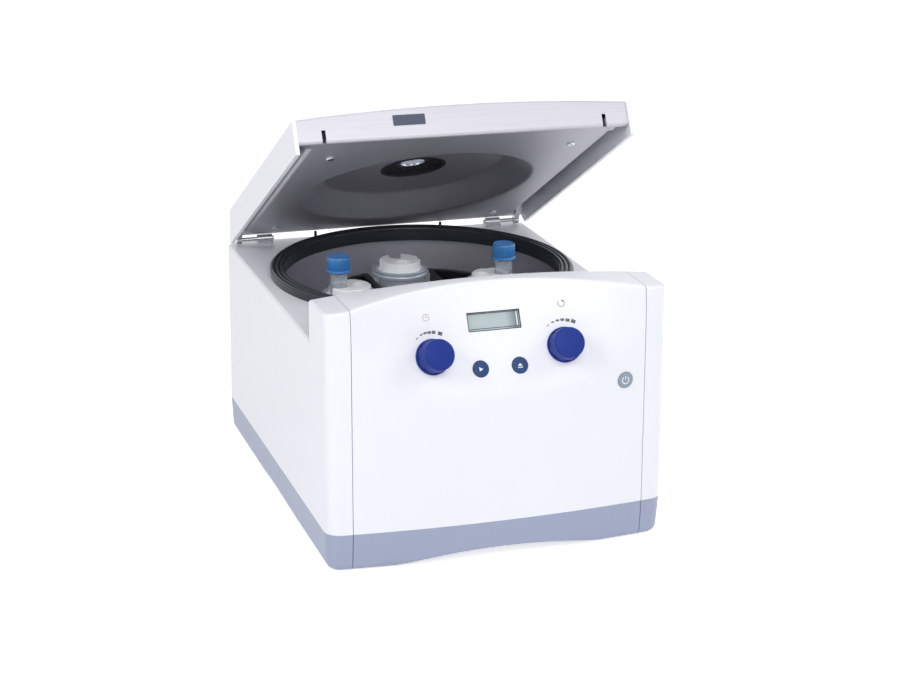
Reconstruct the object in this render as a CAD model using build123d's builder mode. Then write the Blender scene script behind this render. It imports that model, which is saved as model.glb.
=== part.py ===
from build123d import *
from math import asin, cos, degrees, hypot, radians, sin, sqrt, tan
import os

# Benchtop swing-bucket centrifuge with a hinged lid, in millimetres.
# Frame: X to the right seen from the front, Y to the rear, Z up.
# The origin is the centre of the footprint, on the bench. The lid stands part open.

# ---------------------------------------------------------------- driving dimensions
# Chamber opening and the body round it
gasket_r = 147.5
side_margin = 12.5          # deck beside the gasket
front_margin = 28.5         # deck between the gasket and the shoulder
rear_margin = 9.0
shoulder_depth = 67.5       # front of the body to the rear face of the shoulder
body_width = 2 * (gasket_r + side_margin)
body_depth = shoulder_depth + front_margin + 2 * gasket_r + rear_margin
chamber_y = body_depth / 2 - rear_margin - gasket_r

# Body
split_z = 37.0              # seam between grey base and white housing
deck_z = 200.0              # flat deck round the chamber
shoulder_z = 240.0          # top of the front shoulder at its seams
shoulder_crown = 6.5        # how much higher the shoulder is in the middle
seam_inset = 22.5           # seams of the front panel, from the flanks
shoulder_rear_y = shoulder_depth - body_depth / 2
seam_x = body_width / 2 - seam_inset
seam_gap = 0.6
front_bow = 7.3             # bulge of the front between the seams
front_lean = 2.0            # degrees that the front leans back
front_corner_r = 14.0
rear_corner_r = 12.0
least_corner_r = 1.5        # of an inner corner behind a thick wall
wall = 3.0
shoulder_edge_r = 3.0

# Control face, hollow towards its upper edge
face_foot_z = 155.0
face_rim_inset = 15.0       # middle of the upper edge, ahead of the shoulder's rear face
face_rim_y = shoulder_rear_y - face_rim_inset
face_rim_z = shoulder_z + shoulder_crown
face_rim_r = 265.0          # plan radius of the upper edge
face_crease_r = 20.0        # rounding where the face meets the front

# Base
base_bottom_z = 1.0
base_taper = 3.4            # degrees
base_edge_r = 8.0
tray_floor_z = 13.0
tray_floor = 3.0
skirt = 13.0
base_trim_depth = 15.0      # of the front base trim
base_trim_y = base_trim_depth - body_depth / 2
arch_rise = 11.5
arch_half = 108.0
side_arch_rise = 8.0
side_arch_half = 120.0
foot_r = 12.0
foot_h = 6.0
foot_side_inset = 34.0
foot_end_inset = 36.0
foot_x = body_width / 2 - foot_side_inset
foot_y = body_depth / 2 - foot_end_inset

# Chamber
gasket_bore_r = 134.0
gasket_top_z = 208.6
gasket_lip = 2.4            # part of the gasket under the deck
deck_bore_r = 141.5
bowl_r = 147.0
bowl_sheet = 1.2
bowl_flange_r = 152.5
bowl_floor_z = 87.5
bowl_corner_r = 20.0
bowl_hole_r = 34.0

# Lid, measured from its hinge axis: u runs to the lid's front edge, v away from the chamber
lid_open = 29.4             # degrees, as it stands
hinge_inset = 13.0          # hinge axis from the rear
hinge_y = body_depth / 2 - hinge_inset
hinge_z = 205.0
lip_clearance = 1.8         # between the shut lid's lip and the shoulder
lid_reach = hinge_y - shoulder_rear_y - lip_clearance
lid_plate_v = 4.35          # underside of the steel plate
lid_sheet = 1.2
lid_plate_half = body_width / 2 - 15.0
lid_lip_half = body_width / 2 - 4.0
lid_top_v = 33.85           # top of the lid's crown
lid_crown_r = 1900.0
lid_wall = 2.8
lid_skirt_v = -4.65
lip_inset = 1.2             # the lip ends this far under the lid's top
dish_rim_r = 114.0
dish_floor_r = 89.0
dish_depth = 21.0
port_r = 30.0               # black cup in the middle of the dish
port_glass_r = 13.0
slot_x = 132.5
slot_w = 3.6
slot_h = 11.7

# Hinge
bracket_in_x = 115.0
bracket_out_x = 131.0
arm_in_x = 147.0
arm_out_x = 152.0
knuckle_r = 3.9
hinge_pin_r = 2.0

# Rotor
pivot_r = 73.0              # swing axis from the rotor's axis
pivot_z = 169.0
trunnion_r = 2.95
fork_gap = 30.4             # inner face of a fork from the bucket's middle plane
fork_plate = 6.4
hub_r = 22.0
hub_top_z = 165.0
shaft_r = 6.0
fit = 0.03                  # radial running clearance of shafts

# Bucket, adapter, tube (heights from the swing axis)
bucket_r = 25.0
bucket_neck_r = 27.0        # of the thick part that hangs between the forks
bucket_wall = 1.5
bucket_bottom = 63.0
bucket_rim_r = 29.0
bucket_bead_r = 28.0
bucket_rim_top = 16.0
adapter_r = 20.5
adapter_top = 23.5
tube_r = 8.5
tube_offset = 11.4
cap_r = 11.0
cap_h = 15.0
cap_top = 53.6

# Motor
motor_r = 52.0
motor_bottom_z = 20.0
motor_top_z = 80.0
motor_neck_r = 18.0
motor_neck_top_z = 116.0
bearing_r = 14.0
bearing_h = 8.0
mount_half = 72.0           # dampers from the rotor's axis, in X and Y
damper_r = 11.0
damper_z = 30.0             # foot of the dampers
mount_plate_z = 58.0
mount_plate = 3.0

# Controls
knob_x = 61.7
knob_z = 190.5
knob_skirt_r = 16.0
knob_r = 15.0
knob_top_r = 13.8
knob_h = 20.0
spindle_r = 3.0
button_x = 18.3
button_z = 177.0
button_r = 7.4
button_gap = 0.3
button_travel = 1.5
display_w = 49.6
display_h = 17.4
display_z = 214.0
display_sink = 2.4
power_x = 117.5
power_z = 155.5
board_depth = 12.5          # control board behind the middle of the face
board_w = 150.0
board_h = 60.0
board_t = 1.6

os.makedirs("parts", exist_ok=True)


def save(name, solid):
    """Label a finished piece and write it."""
    solid.label = name
    export_step(solid, f"parts/{name}.step")


# ---------------------------------------------------------------- body envelope
roof_z = face_rim_z + 14.0
front_y = -body_depth / 2


def outline(z, inset=0.0):
    """Plan of the body at height z: straight sides and rear, bowed front, round corners."""
    half = body_width / 2 - inset
    rear = body_depth / 2 - inset
    front = front_y + inset + (z - split_z) * tan(radians(front_lean))
    corner_y = front + front_bow * (half / seam_x) ** 2
    with BuildSketch(Plane.XY.offset(z)) as plan:
        with BuildLine():
            ThreePointArc((-half, corner_y), (0, front), (half, corner_y))
            Polyline((half, corner_y), (half, rear), (-half, rear), (-half, corner_y))
        make_face()
        fillet(plan.vertices().group_by(Axis.Y)[0], max(front_corner_r - inset, least_corner_r))
        fillet(plan.vertices().group_by(Axis.Y)[-1], max(rear_corner_r - inset, least_corner_r))
    return plan.sketch


face_foot_y = front_y + (face_foot_z - split_z) * tan(radians(front_lean))
face_slope = (face_rim_y - face_foot_y) / (face_rim_z - face_foot_z)
face_lean = degrees(asin(face_slope / hypot(1, face_slope)))


def face_cut(inset=0.0):
    """Two sections of the cut that leaves the control face: straight below, hollow above."""
    half = body_width / 2
    back = inset / cos(radians(face_lean))
    rise = (roof_z - face_foot_z) / (face_rim_z - face_foot_z)
    sag = half**2 / (2 * face_rim_r) * rise
    top_y = face_foot_y + face_slope * (roof_z - face_foot_z) + back
    with BuildSketch(Plane.XY.offset(face_foot_z)) as low:
        with BuildLine():
            Line((-half, face_foot_y + back), (half, face_foot_y + back))
            Polyline(
                (half, face_foot_y + back), (half, -body_depth),
                (-half, -body_depth), (-half, face_foot_y + back),
            )
        make_face()
    with BuildSketch(Plane.XY.offset(roof_z)) as high:
        with BuildLine():
            ThreePointArc((-half, top_y - sag), (0, top_y), (half, top_y - sag))
            Polyline(
                (half, top_y - sag), (half, -body_depth),
                (-half, -body_depth), (-half, top_y - sag),
            )
        make_face()
    return [low.sketch, high.sketch]


def above_arc(plane, half, top, radius, height):
    """Area above a flat arch whose crest is at height top."""
    edge = top - (radius - sqrt(radius**2 - half**2))
    with BuildSketch(plane) as area:
        with BuildLine():
            ThreePointArc((-half, edge), (0, top), (half, edge))
            Polyline((half, edge), (half, top + height), (-half, top + height), (-half, edge))
        make_face()
    return area.sketch


crown_r = (seam_x**2 + shoulder_crown**2) / (2 * shoulder_crown)


def envelope(inset=0.0):
    """Solid block of the white body, every face moved inwards by inset."""
    floor_plan = outline(split_z, inset)
    roof_plan = outline(roof_z, inset)
    cut = face_cut(inset)
    sky = above_arc(Plane.XZ, body_width, face_rim_z - inset, crown_r, body_width)
    with BuildPart() as block:
        loft([floor_plan, roof_plan], ruled=True)
        with BuildSketch(Plane.YZ):
            with Locations((shoulder_rear_y - inset, deck_z - inset)):
                Rectangle(body_depth, body_depth, align=(Align.MIN, Align.MIN))
        extrude(amount=body_width, both=True, mode=Mode.SUBTRACT)
        extrude(sky, amount=body_depth, both=True, mode=Mode.SUBTRACT)
        loft(cut, ruled=True, mode=Mode.SUBTRACT)
    return block.part


inner_block = envelope(wall)
with BuildPart() as rounded_block:
    add(envelope())
    control_face = rounded_block.faces().filter_by(
        lambda f: f.normal_at().Y < -0.2 and f.normal_at().Z > 0.2)[0]
    fillet(control_face.edges().sort_by(Axis.Z)[0], face_crease_r)
    shoulder_edges = rounded_block.edges().filter_by_position(Axis.Z, shoulder_z - 6, roof_z)
    deck_edges = rounded_block.edges().filter_by_position(Axis.Z, deck_z - 0.1, deck_z + 0.1)
    fillet(shoulder_edges + deck_edges.sort_by(Axis.Y)[1:], shoulder_edge_r)
outer_block = rounded_block.part
control_face = outer_block.faces().filter_by(lambda f: f.normal_at().Y < -0.2 < 0.2 < f.normal_at().Z)[0]
panel_half = seam_x - seam_gap


def slab(half_x, y0, y1, z0, z1):
    """Box between two depths and two heights, as wide as 2 * half_x."""
    middle = ((y0 + y1) / 2, (z0 + z1) / 2)
    with BuildPart() as box:
        with Locations((0, *middle)):
            Box(2 * half_x, y1 - y0, z1 - z0)
    return box.part


def disc_plane(z):
    """Horizontal plane centred on the rotor's axis."""
    return Plane((0, chamber_y, z))


# ---------------------------------------------------------------- grey base
floor_top_z = tray_floor_z + tray_floor
base_plan = outline(split_z)
base_room = outline(floor_top_z, wall + (split_z - floor_top_z) * tan(radians(base_taper)))
base_hollow = outline(0, skirt)
base_front = slab(panel_half, -body_depth, base_trim_y, 0, split_z)
base_front_gap = slab(seam_x, -body_depth, base_trim_y, 0, split_z)
foot_places = [(x, y) for x in (-foot_x, foot_x) for y in (-foot_y, foot_y)]
damper_places = [(x, chamber_y + y) for x in (-mount_half, mount_half) for y in (-mount_half, mount_half)]


def arch(plane, half, rise):
    """Area under a flat arch that stands on the bench."""
    with BuildSketch(plane) as area:
        with BuildLine():
            ThreePointArc((-half, 0), (0, rise), (half, 0))
            Line((half, 0), (-half, 0))
        make_face()
    return area.sketch


front_arch = arch(Plane.XZ, arch_half, arch_rise)
side_arch = arch(Plane.YZ, side_arch_half, side_arch_rise)

with BuildPart() as base_block:
    extrude(base_plan, amount=-(split_z - base_bottom_z), taper=base_taper)
    fillet(base_block.faces().sort_by(Axis.Z)[0].edges(), base_edge_r)
    extrude(base_room, amount=split_z, mode=Mode.SUBTRACT)
    extrude(base_hollow, amount=tray_floor_z, mode=Mode.SUBTRACT)
    extrude(front_arch, amount=body_depth, both=True, mode=Mode.SUBTRACT)
    extrude(side_arch, amount=body_width, both=True, mode=Mode.SUBTRACT)

with BuildPart() as base_tray:
    add(base_block.part)
    add(base_front_gap, mode=Mode.SUBTRACT)
    # pads over the rubber feet, and pillars under the motor's dampers
    with BuildSketch(Plane.XY.offset(tray_floor_z)):
        with Locations(*foot_places):
            Circle(foot_r + wall)
    extrude(amount=-(tray_floor_z - foot_h / 2))
    with BuildSketch(Plane.XY.offset(foot_h)):
        with Locations(*foot_places):
            Circle(foot_r)
    extrude(amount=-foot_h, mode=Mode.SUBTRACT)
    with BuildSketch(Plane.XY.offset(floor_top_z)):
        with Locations(*damper_places):
            Circle(damper_r)
    extrude(amount=damper_z - floor_top_z)
    # air slots under the motor
    with BuildSketch(disc_plane(tray_floor_z)):
        with GridLocations(0, 12, 1, 5):
            SlotOverall(70, 4)
    extrude(amount=tray_floor, mode=Mode.SUBTRACT)
save("base_tray", base_tray.part)

with BuildPart() as base_front_trim:
    add(base_block.part)
    add(base_front, mode=Mode.INTERSECT)
save("base_front_trim", base_front_trim.part)

with BuildPart() as rubber_feet:
    with BuildSketch():
        with Locations(*foot_places):
            Circle(foot_r)
    extrude(amount=foot_h)
    chamfer(rubber_feet.edges().group_by(Axis.Z)[0], 0.8)
save("rubber_feet", rubber_feet.part)

# ---------------------------------------------------------------- white housing
deck_under_z = deck_z - wall
panel_room = slab(seam_x, -body_depth, shoulder_rear_y, 0, roof_z)
panel_zone = slab(panel_half, -body_depth, shoulder_rear_y, 0, roof_z)
vent_count = 14
vent_pitch = 9.0
vent_w = 3.5
vent_h = 52.0
vent_x = -50.0
vent_z = 132.0
inlet_x = 96.0
inlet_z = 78.0
inlet_w = 28.0
inlet_h = 48.0
rear_plane = Plane((0, body_depth / 2, 0), x_dir=(-1, 0, 0), z_dir=(0, 1, 0))

with BuildPart() as housing_shell:
    add(outer_block)
    add(inner_block, mode=Mode.SUBTRACT)
    add(panel_room, mode=Mode.SUBTRACT)
    with BuildSketch(disc_plane(deck_under_z)):
        Circle(deck_bore_r)
    extrude(amount=wall, mode=Mode.SUBTRACT)
    # rear: air slots and the cut-out for the mains inlet
    with BuildSketch(rear_plane):
        with Locations((-vent_x, vent_z)):
            with GridLocations(vent_pitch, 1, vent_count, 1):
                SlotOverall(vent_h, vent_w, rotation=90)
        with Locations((-inlet_x, inlet_z)):
            Rectangle(inlet_w, inlet_h)
    extrude(amount=-wall, mode=Mode.SUBTRACT)

save("housing_shell", housing_shell.part)


# ---------------------------------------------------------------- chamber
def ring(points):
    """Revolve a closed (radius, height) profile about the rotor's axis."""
    with BuildPart() as turned:
        with BuildSketch(Plane((0, chamber_y, 0), x_dir=(1, 0, 0), z_dir=(0, -1, 0))):
            with BuildLine():
                Polyline(*points, close=True)
            make_face()
        revolve(axis=Axis((0, chamber_y, 0), (0, 0, 1)))
    return turned.part


gasket_base_z = deck_under_z - gasket_lip
rib_r = 2.0
rib_seat_z = gasket_top_z - rib_r
rib_inset = rib_r + 0.6
rib_step = (gasket_r - gasket_bore_r - 2 * rib_inset) / 2
rib_radii = [gasket_bore_r + rib_inset + i * rib_step for i in range(3)]
with BuildPart() as chamber_gasket:
    with BuildSketch(Plane((0, chamber_y, 0), x_dir=(1, 0, 0), z_dir=(0, -1, 0))):
        with BuildLine():
            Polyline(
                (gasket_bore_r, gasket_base_z), (gasket_r - 1, gasket_base_z),
                (gasket_r - 1, deck_under_z), (deck_bore_r, deck_under_z),
                (deck_bore_r, deck_z), (gasket_r, deck_z),
                (gasket_r, rib_seat_z), (gasket_bore_r, rib_seat_z), close=True,
            )
        make_face()
        with Locations(*[(r, rib_seat_z) for r in rib_radii]):
            Circle(rib_r)
    revolve(axis=Axis((0, chamber_y, 0), (0, 0, 1)))
save("chamber_gasket", chamber_gasket.part)

bowl_out_r = bowl_r + bowl_sheet
bowl_under_z = bowl_floor_z - bowl_sheet
with BuildPart() as chamber_bowl:
    with BuildSketch(Plane((0, chamber_y, 0), x_dir=(1, 0, 0), z_dir=(0, -1, 0))) as bowl_section:
        with BuildLine():
            FilletPolyline(
                (bowl_hole_r, bowl_floor_z), (bowl_r, bowl_floor_z), (bowl_r, gasket_base_z),
                radius=bowl_corner_r,
            )
            Polyline(
                (bowl_r, gasket_base_z), (bowl_flange_r, gasket_base_z),
                (bowl_flange_r, gasket_base_z - bowl_sheet), (bowl_out_r, gasket_base_z - bowl_sheet),
            )
            FilletPolyline(
                (bowl_out_r, gasket_base_z - bowl_sheet), (bowl_out_r, bowl_under_z),
                (bowl_hole_r, bowl_under_z), radius=bowl_corner_r + bowl_sheet,
            )
            Line((bowl_hole_r, bowl_under_z), (bowl_hole_r, bowl_floor_z))
        make_face()
    revolve(axis=Axis((0, chamber_y, 0), (0, 0, 1)))
save("chamber_bowl", chamber_bowl.part)

boot_sheet = 2.0
boot_top_z = motor_neck_top_z - 4.0
save("shaft_boot", ring([
    (motor_neck_r, boot_top_z - 10), (motor_neck_r, boot_top_z), (motor_neck_r + boot_sheet, boot_top_z),
    (motor_neck_r + boot_sheet, boot_top_z - 10), (bowl_hole_r - 2, bowl_floor_z + boot_sheet),
    (bowl_hole_r + 6, bowl_floor_z + boot_sheet), (bowl_hole_r + 6, bowl_floor_z),
    (bowl_hole_r - 2 - boot_sheet, bowl_floor_z),
]))

# ---------------------------------------------------------------- motor
neck_bore_r = bearing_r + 0.02
seat_z = motor_neck_top_z - bearing_h - 2.0
save("motor_can", ring([
    (bearing_r - 3, motor_bottom_z), (motor_r, motor_bottom_z), (motor_r, motor_top_z),
    (motor_neck_r, motor_top_z), (motor_neck_r, motor_neck_top_z), (bearing_r - 3, motor_neck_top_z),
    (bearing_r - 3, motor_neck_top_z - 2), (neck_bore_r, motor_neck_top_z - 2), (neck_bore_r, seat_z),
    (bearing_r - 3, seat_z), (bearing_r - 3, motor_top_z - wall), (motor_r - wall, motor_top_z - wall),
    (motor_r - wall, motor_bottom_z + wall), (neck_bore_r + 3, motor_bottom_z + wall),
    (neck_bore_r + 3, motor_bottom_z + wall + bearing_h), (neck_bore_r, motor_bottom_z + wall + bearing_h),
    (neck_bore_r, motor_bottom_z + wall), (bearing_r - 3, motor_bottom_z + wall),
]))

stator_in_r = 31.0
armature_r = stator_in_r - 0.6
stator_z0 = 38.0
stator_z1 = 70.0
save("motor_stator", ring([
    (stator_in_r, stator_z0), (motor_r - wall, stator_z0),
    (motor_r - wall, stator_z1), (stator_in_r, stator_z1),
]))
save("motor_armature", ring([
    (shaft_r, stator_z0 - 2), (armature_r, stator_z0 - 2),
    (armature_r, stator_z1 + 2), (shaft_r, stator_z1 + 2),
]))

with BuildPart() as motor_bearings:
    for z in (motor_bottom_z + wall, seat_z):
        with BuildSketch(disc_plane(z)):
            Circle(bearing_r)
            Circle(shaft_r + fit, mode=Mode.SUBTRACT)
        extrude(amount=bearing_h)
save("motor_bearings", motor_bearings.part)

shaft_bottom_z = motor_bottom_z + 2.0
thread_r = 4.0
thread_top_z = hub_top_z + 13.0
save("motor_shaft", ring([
    (0, shaft_bottom_z), (shaft_r, shaft_bottom_z), (shaft_r, hub_top_z - 18), (thread_r, hub_top_z - 4),
    (thread_r, thread_top_z), (0, thread_top_z),
]))

mount_side = 2 * (mount_half + damper_r + 3)
mount_flange_r = motor_r + 9.0
mount_flange = 4.0
with BuildPart() as motor_mount:
    with BuildSketch(disc_plane(mount_plate_z)):
        RectangleRounded(mount_side, mount_side, damper_r)
        Circle(motor_r, mode=Mode.SUBTRACT)
    extrude(amount=mount_plate)
    with BuildSketch(disc_plane(mount_plate_z + mount_plate)):
        Circle(mount_flange_r)
        Circle(motor_r, mode=Mode.SUBTRACT)
    extrude(amount=mount_flange)
save("motor_mount", motor_mount.part)

waist = 2.5
with BuildPart() as motor_dampers:
    with BuildSketch(Plane.XZ) as damper_section:
        with BuildLine():
            Polyline((0, damper_z), (damper_r, damper_z))
            ThreePointArc(
                (damper_r, damper_z),
                (damper_r - waist, (damper_z + mount_plate_z) / 2),
                (damper_r, mount_plate_z),
            )
            Polyline((damper_r, mount_plate_z), (0, mount_plate_z), (0, damper_z))
        make_face()
    damper = revolve(axis=Axis.Z, mode=Mode.PRIVATE)
    with Locations(*damper_places):
        add(damper)
save("motor_dampers", motor_dampers.part)

# ---------------------------------------------------------------- rotor
hub_bottom_z = hub_top_z - 26.0
arm_top_z = hub_top_z - 2.0
arm_bottom_z = arm_top_z - 14.0
head_top_z = pivot_z + 7.5
head_bottom_z = arm_bottom_z
arm_half = 9.0
fork_out = fork_gap + fork_plate
head_r = pivot_r + 20.0
head_floor = 5.0
quarters = [0, 90, 180, 270]

def swing_plane(turn, height=0.0):
    """Horizontal plane on a bucket's own axis: x outwards from the rotor, z up."""
    a = radians(turn)
    origin = (pivot_r * cos(a), chamber_y + pivot_r * sin(a), pivot_z + height)
    return Plane(origin, x_dir=(cos(a), sin(a), 0), z_dir=(0, 0, 1))


def section_plane(turn):
    """Upright plane through a bucket's axis and the rotor's axis: x outwards, y up."""
    a = radians(turn)
    origin = (pivot_r * cos(a), chamber_y + pivot_r * sin(a), pivot_z)
    return Plane(origin, x_dir=(cos(a), sin(a), 0), z_dir=(sin(a), -cos(a), 0))


with BuildPart() as rotor_cross:
    with BuildSketch(disc_plane(hub_bottom_z)):
        Circle(hub_r)
    extrude(amount=hub_top_z - hub_bottom_z)
    with BuildSketch(disc_plane(arm_bottom_z)):
        with PolarLocations(0, 4, start_angle=45):
            Rectangle(fork_out * sqrt(2), 2 * arm_half, align=(Align.MIN, Align.CENTER))
    extrude(amount=arm_top_z - arm_bottom_z)
    with BuildSketch(disc_plane(head_bottom_z)):
        Circle(head_r)
        Rectangle(2 * head_r, 2 * fork_gap, mode=Mode.SUBTRACT)
        Rectangle(2 * fork_gap, 2 * head_r, mode=Mode.SUBTRACT)
    extrude(amount=head_top_z - head_bottom_z)
    fillet(rotor_cross.edges().filter_by(Axis.Z).filter_by(
        lambda e: hypot(e.center().X, e.center().Y - chamber_y) > head_r - 1), 2.5)
    # pockets that leave the forks and an outer rim standing
    with BuildSketch(disc_plane(head_bottom_z + head_floor)):
        Circle(head_r - fork_plate)
        Rectangle(2 * head_r, 2 * fork_out, mode=Mode.SUBTRACT)
        Rectangle(2 * fork_out, 2 * head_r, mode=Mode.SUBTRACT)
    extrude(amount=head_top_z - head_bottom_z - head_floor, mode=Mode.SUBTRACT)
    with BuildSketch(disc_plane(hub_bottom_z)):
        Circle(shaft_r + 0.05)
    extrude(amount=hub_top_z - hub_bottom_z, mode=Mode.SUBTRACT)
    for turn in quarters:
        with BuildSketch(section_plane(turn)):
            Circle(trunnion_r + 0.02)
        extrude(amount=fork_out + 1, both=True, mode=Mode.SUBTRACT)
save("rotor_cross", rotor_cross.part)


pin_inner = bucket_neck_r + 0.6
with BuildPart() as trunnion_pins:
    for turn in quarters:
        for side in (-1, 1):
            with BuildSketch(section_plane(turn).offset(side * pin_inner)):
                Circle(trunnion_r)
            extrude(amount=side * (fork_out - 0.4 - pin_inner))
save("trunnion_pins", trunnion_pins.part)

nut_r = 13.0
nut_h = 12.0
with BuildPart() as rotor_nut:
    with BuildSketch(disc_plane(hub_top_z)):
        Circle(nut_r)
        with PolarLocations(nut_r + 1.2, 12):
            Circle(2.0, mode=Mode.SUBTRACT)
    extrude(amount=nut_h)
    fillet(rotor_nut.edges().group_by(Axis.Z)[-1], 0.8)
    with BuildSketch(disc_plane(hub_top_z)):
        Circle(nut_r + 2.0)
        Circle(nut_r - 0.5, mode=Mode.SUBTRACT)
    extrude(amount=2.0)
    with BuildSketch(disc_plane(hub_top_z)):
        Circle(thread_r + 0.05)
    extrude(amount=nut_h - 1.0, mode=Mode.SUBTRACT)
    with BuildSketch(disc_plane(hub_top_z + nut_h)):
        RegularPolygon(5.0, 6)
    extrude(amount=-4.0, mode=Mode.SUBTRACT)
save("rotor_nut", rotor_nut.part)

# ---------------------------------------------------------------- buckets and what they hold
bucket_bore_r = bucket_r - bucket_wall
bucket_floor = 2.0
lug_out = fork_gap - 0.7
lug_half = 7.5
lug_foot = -9.0
ridge = 1.6
ridge_gap_h = 1.4
rim_h = 8.0
rim_foot = bucket_rim_top - rim_h
neck_foot = -24.0
ridge_z0 = rim_foot + (rim_h - ridge_gap_h) / 2
ridge_z1 = rim_foot + (rim_h + ridge_gap_h) / 2
slot_r = trunnion_r + fit
adapter_body_r = bucket_bore_r - 0.1
adapter_foot = bucket_floor - bucket_bottom
tube_bore_r = tube_r + 0.3
tube_seat = adapter_foot + 2.0
head_gap = 13.0
waist_r = 7.0
waist_depth = 2.4
bucket_turns = {"right": 0, "rear": 90, "left": 180, "front": 270}

for place, turn in bucket_turns.items():
    with BuildPart() as bucket:
        with BuildSketch(section_plane(turn)):
            with Locations((0, (lug_foot + rim_foot) / 2)):
                Rectangle(2 * lug_half, rim_foot - lug_foot)
            Circle(slot_r, mode=Mode.SUBTRACT)
            Rectangle(2 * slot_r, -lug_foot, align=(Align.CENTER, Align.MAX), mode=Mode.SUBTRACT)
        extrude(amount=lug_out, both=True)
        with BuildSketch(section_plane(turn)):
            with BuildLine():
                FilletPolyline(
                    (0, -bucket_bottom), (bucket_r, -bucket_bottom), (bucket_r, neck_foot - 2.0), radius=5.0
                )
                Polyline(
                    (bucket_r, neck_foot - 2.0), (bucket_neck_r, neck_foot), (bucket_neck_r, rim_foot),
                    (bucket_rim_r, rim_foot + ridge / 2), (bucket_rim_r, ridge_z0),
                    (bucket_neck_r, ridge_z0 + 0.4), (bucket_neck_r, ridge_z1),
                    (bucket_bead_r, ridge_z1 + 0.4), (bucket_bead_r, bucket_rim_top - 0.8),
                    (bucket_bead_r - 0.8, bucket_rim_top),
                    (bucket_bore_r + 1.2, bucket_rim_top), (bucket_bore_r, bucket_rim_top - 1.2),
                    (bucket_bore_r, adapter_foot), (0, adapter_foot), (0, -bucket_bottom),
                )
            make_face()
        revolve(axis=Axis(swing_plane(turn).origin, (0, 0, 1)))
        with BuildSketch(swing_plane(turn, adapter_foot)):
            Circle(bucket_bore_r)
        extrude(amount=bucket_rim_top - adapter_foot, mode=Mode.SUBTRACT)
    save(f"bucket_{place}", bucket.part)

    with BuildPart() as adapter:
        with BuildSketch(swing_plane(turn, adapter_foot)):
            Circle(adapter_body_r)
        extrude(amount=bucket_rim_top - 2.0 - adapter_foot)
        with BuildSketch(swing_plane(turn, bucket_rim_top - 2.0)):
            Circle(adapter_r)
            with Locations((0, adapter_r + waist_r - waist_depth), (0, waist_depth - waist_r - adapter_r)):
                Circle(waist_r, mode=Mode.SUBTRACT)
        extrude(amount=adapter_top - bucket_rim_top + 2.0)
        fillet(adapter.edges().group_by(Axis.Z)[-1], 1.2)
        with BuildSketch(swing_plane(turn, adapter_top)):
            with Locations((tube_offset, 0), (-tube_offset, 0)):
                Circle(tube_bore_r)
        extrude(amount=tube_seat - adapter_top, mode=Mode.SUBTRACT)
        # the head is open outwards, so that a tube slips in past the lid
        with BuildSketch(swing_plane(turn, adapter_top)):
            with Locations((tube_offset, 0)):
                Rectangle(bucket_r, head_gap, align=(Align.MIN, Align.CENTER))
        extrude(amount=bucket_rim_top - 2.0 - adapter_top, mode=Mode.SUBTRACT)
    save(f"adapter_{place}", adapter.part)

# clear conical tubes with screw caps, in the left and right buckets
tube_wall = 1.0
tube_tip_r = 2.4
tube_cone_h = 22.0
tube_foot = tube_seat + 0.2
cap_foot = cap_top - cap_h
tube_mouth = cap_top - 1.8
cap_flare_r = cap_r + 0.9
cap_ribs = 30
for place in ("left", "right"):
    turn = bucket_turns[place]
    tube_axis = swing_plane(turn).from_local_coords((tube_offset, 0, 0))
    flat = section_plane(turn)
    tube_plane = Plane(tube_axis, x_dir=flat.x_dir, z_dir=flat.z_dir)
    with BuildPart() as tube:
        with BuildSketch(tube_plane):
            with BuildLine():
                Polyline(
                    (0, tube_foot), (tube_tip_r, tube_foot), (tube_r, tube_foot + tube_cone_h),
                    (tube_r, tube_mouth), (tube_r - tube_wall, tube_mouth),
                    (tube_r - tube_wall, tube_foot + tube_cone_h), (tube_tip_r - tube_wall, tube_foot + 1.5),
                    (0, tube_foot + 1.5), close=True,
                )
            make_face()
        revolve(axis=Axis(tube_axis, (0, 0, 1)))
    save(f"tube_{place}", tube.part)
    with BuildPart() as cap:
        with BuildSketch(swing_plane(turn, cap_foot + 2.5)):
            with Locations((tube_offset, 0)):
                Circle(cap_r)
                with PolarLocations(cap_r + 0.15, cap_ribs):
                    Circle(0.5, mode=Mode.SUBTRACT)
        extrude(amount=cap_h - 5.0)
        with BuildSketch(tube_plane):
            with BuildLine():
                Polyline(
                    (0, tube_mouth), (tube_r + 0.05, tube_mouth),
                    (tube_r + 0.05, cap_foot), (cap_flare_r, cap_foot),
                    (cap_flare_r, cap_foot + 1.4), (cap_r, cap_foot + 2.5), (cap_r - 1.0, cap_foot + 2.5),
                    (cap_r - 1.0, cap_top - 2.5), (cap_r, cap_top - 2.5), (cap_r - 0.6, cap_top - 0.3),
                    (cap_r - 1.4, cap_top), (cap_r - 2.2, cap_top - 0.6), (0, cap_top - 0.6), close=True,
                )
            make_face()
        revolve(axis=Axis(tube_axis, (0, 0, 1)))
        with BuildSketch(swing_plane(turn, cap_foot)):
            with Locations((tube_offset, 0)):
                Circle(tube_r + 0.05)
        extrude(amount=tube_mouth - cap_foot, mode=Mode.SUBTRACT)
    save(f"cap_{place}", cap.part)

# ---------------------------------------------------------------- front panel
def face_plane(x, z):
    """Plane on the outside of the front at (x, z): x to the right, y upwards, z outwards."""
    point, normal = outer_block.find_intersection_points(Axis((x, -body_depth, z), (0, 1, 0)))[0]
    if normal.Y > 0:
        normal = -normal
    return Plane(point, x_dir=Vector(0, 0, 1).cross(normal), z_dir=normal)


board_z = 194.0
centre_face = face_plane(0, board_z)
display_face = face_plane(0, display_z)
knob_faces = {"time": face_plane(-knob_x, knob_z), "speed": face_plane(knob_x, knob_z)}
button_faces = {"short_run": face_plane(-button_x, button_z), "lid_release": face_plane(button_x, button_z)}
power_face = face_plane(power_x, power_z)
board_plane = centre_face.offset(-board_depth)

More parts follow.
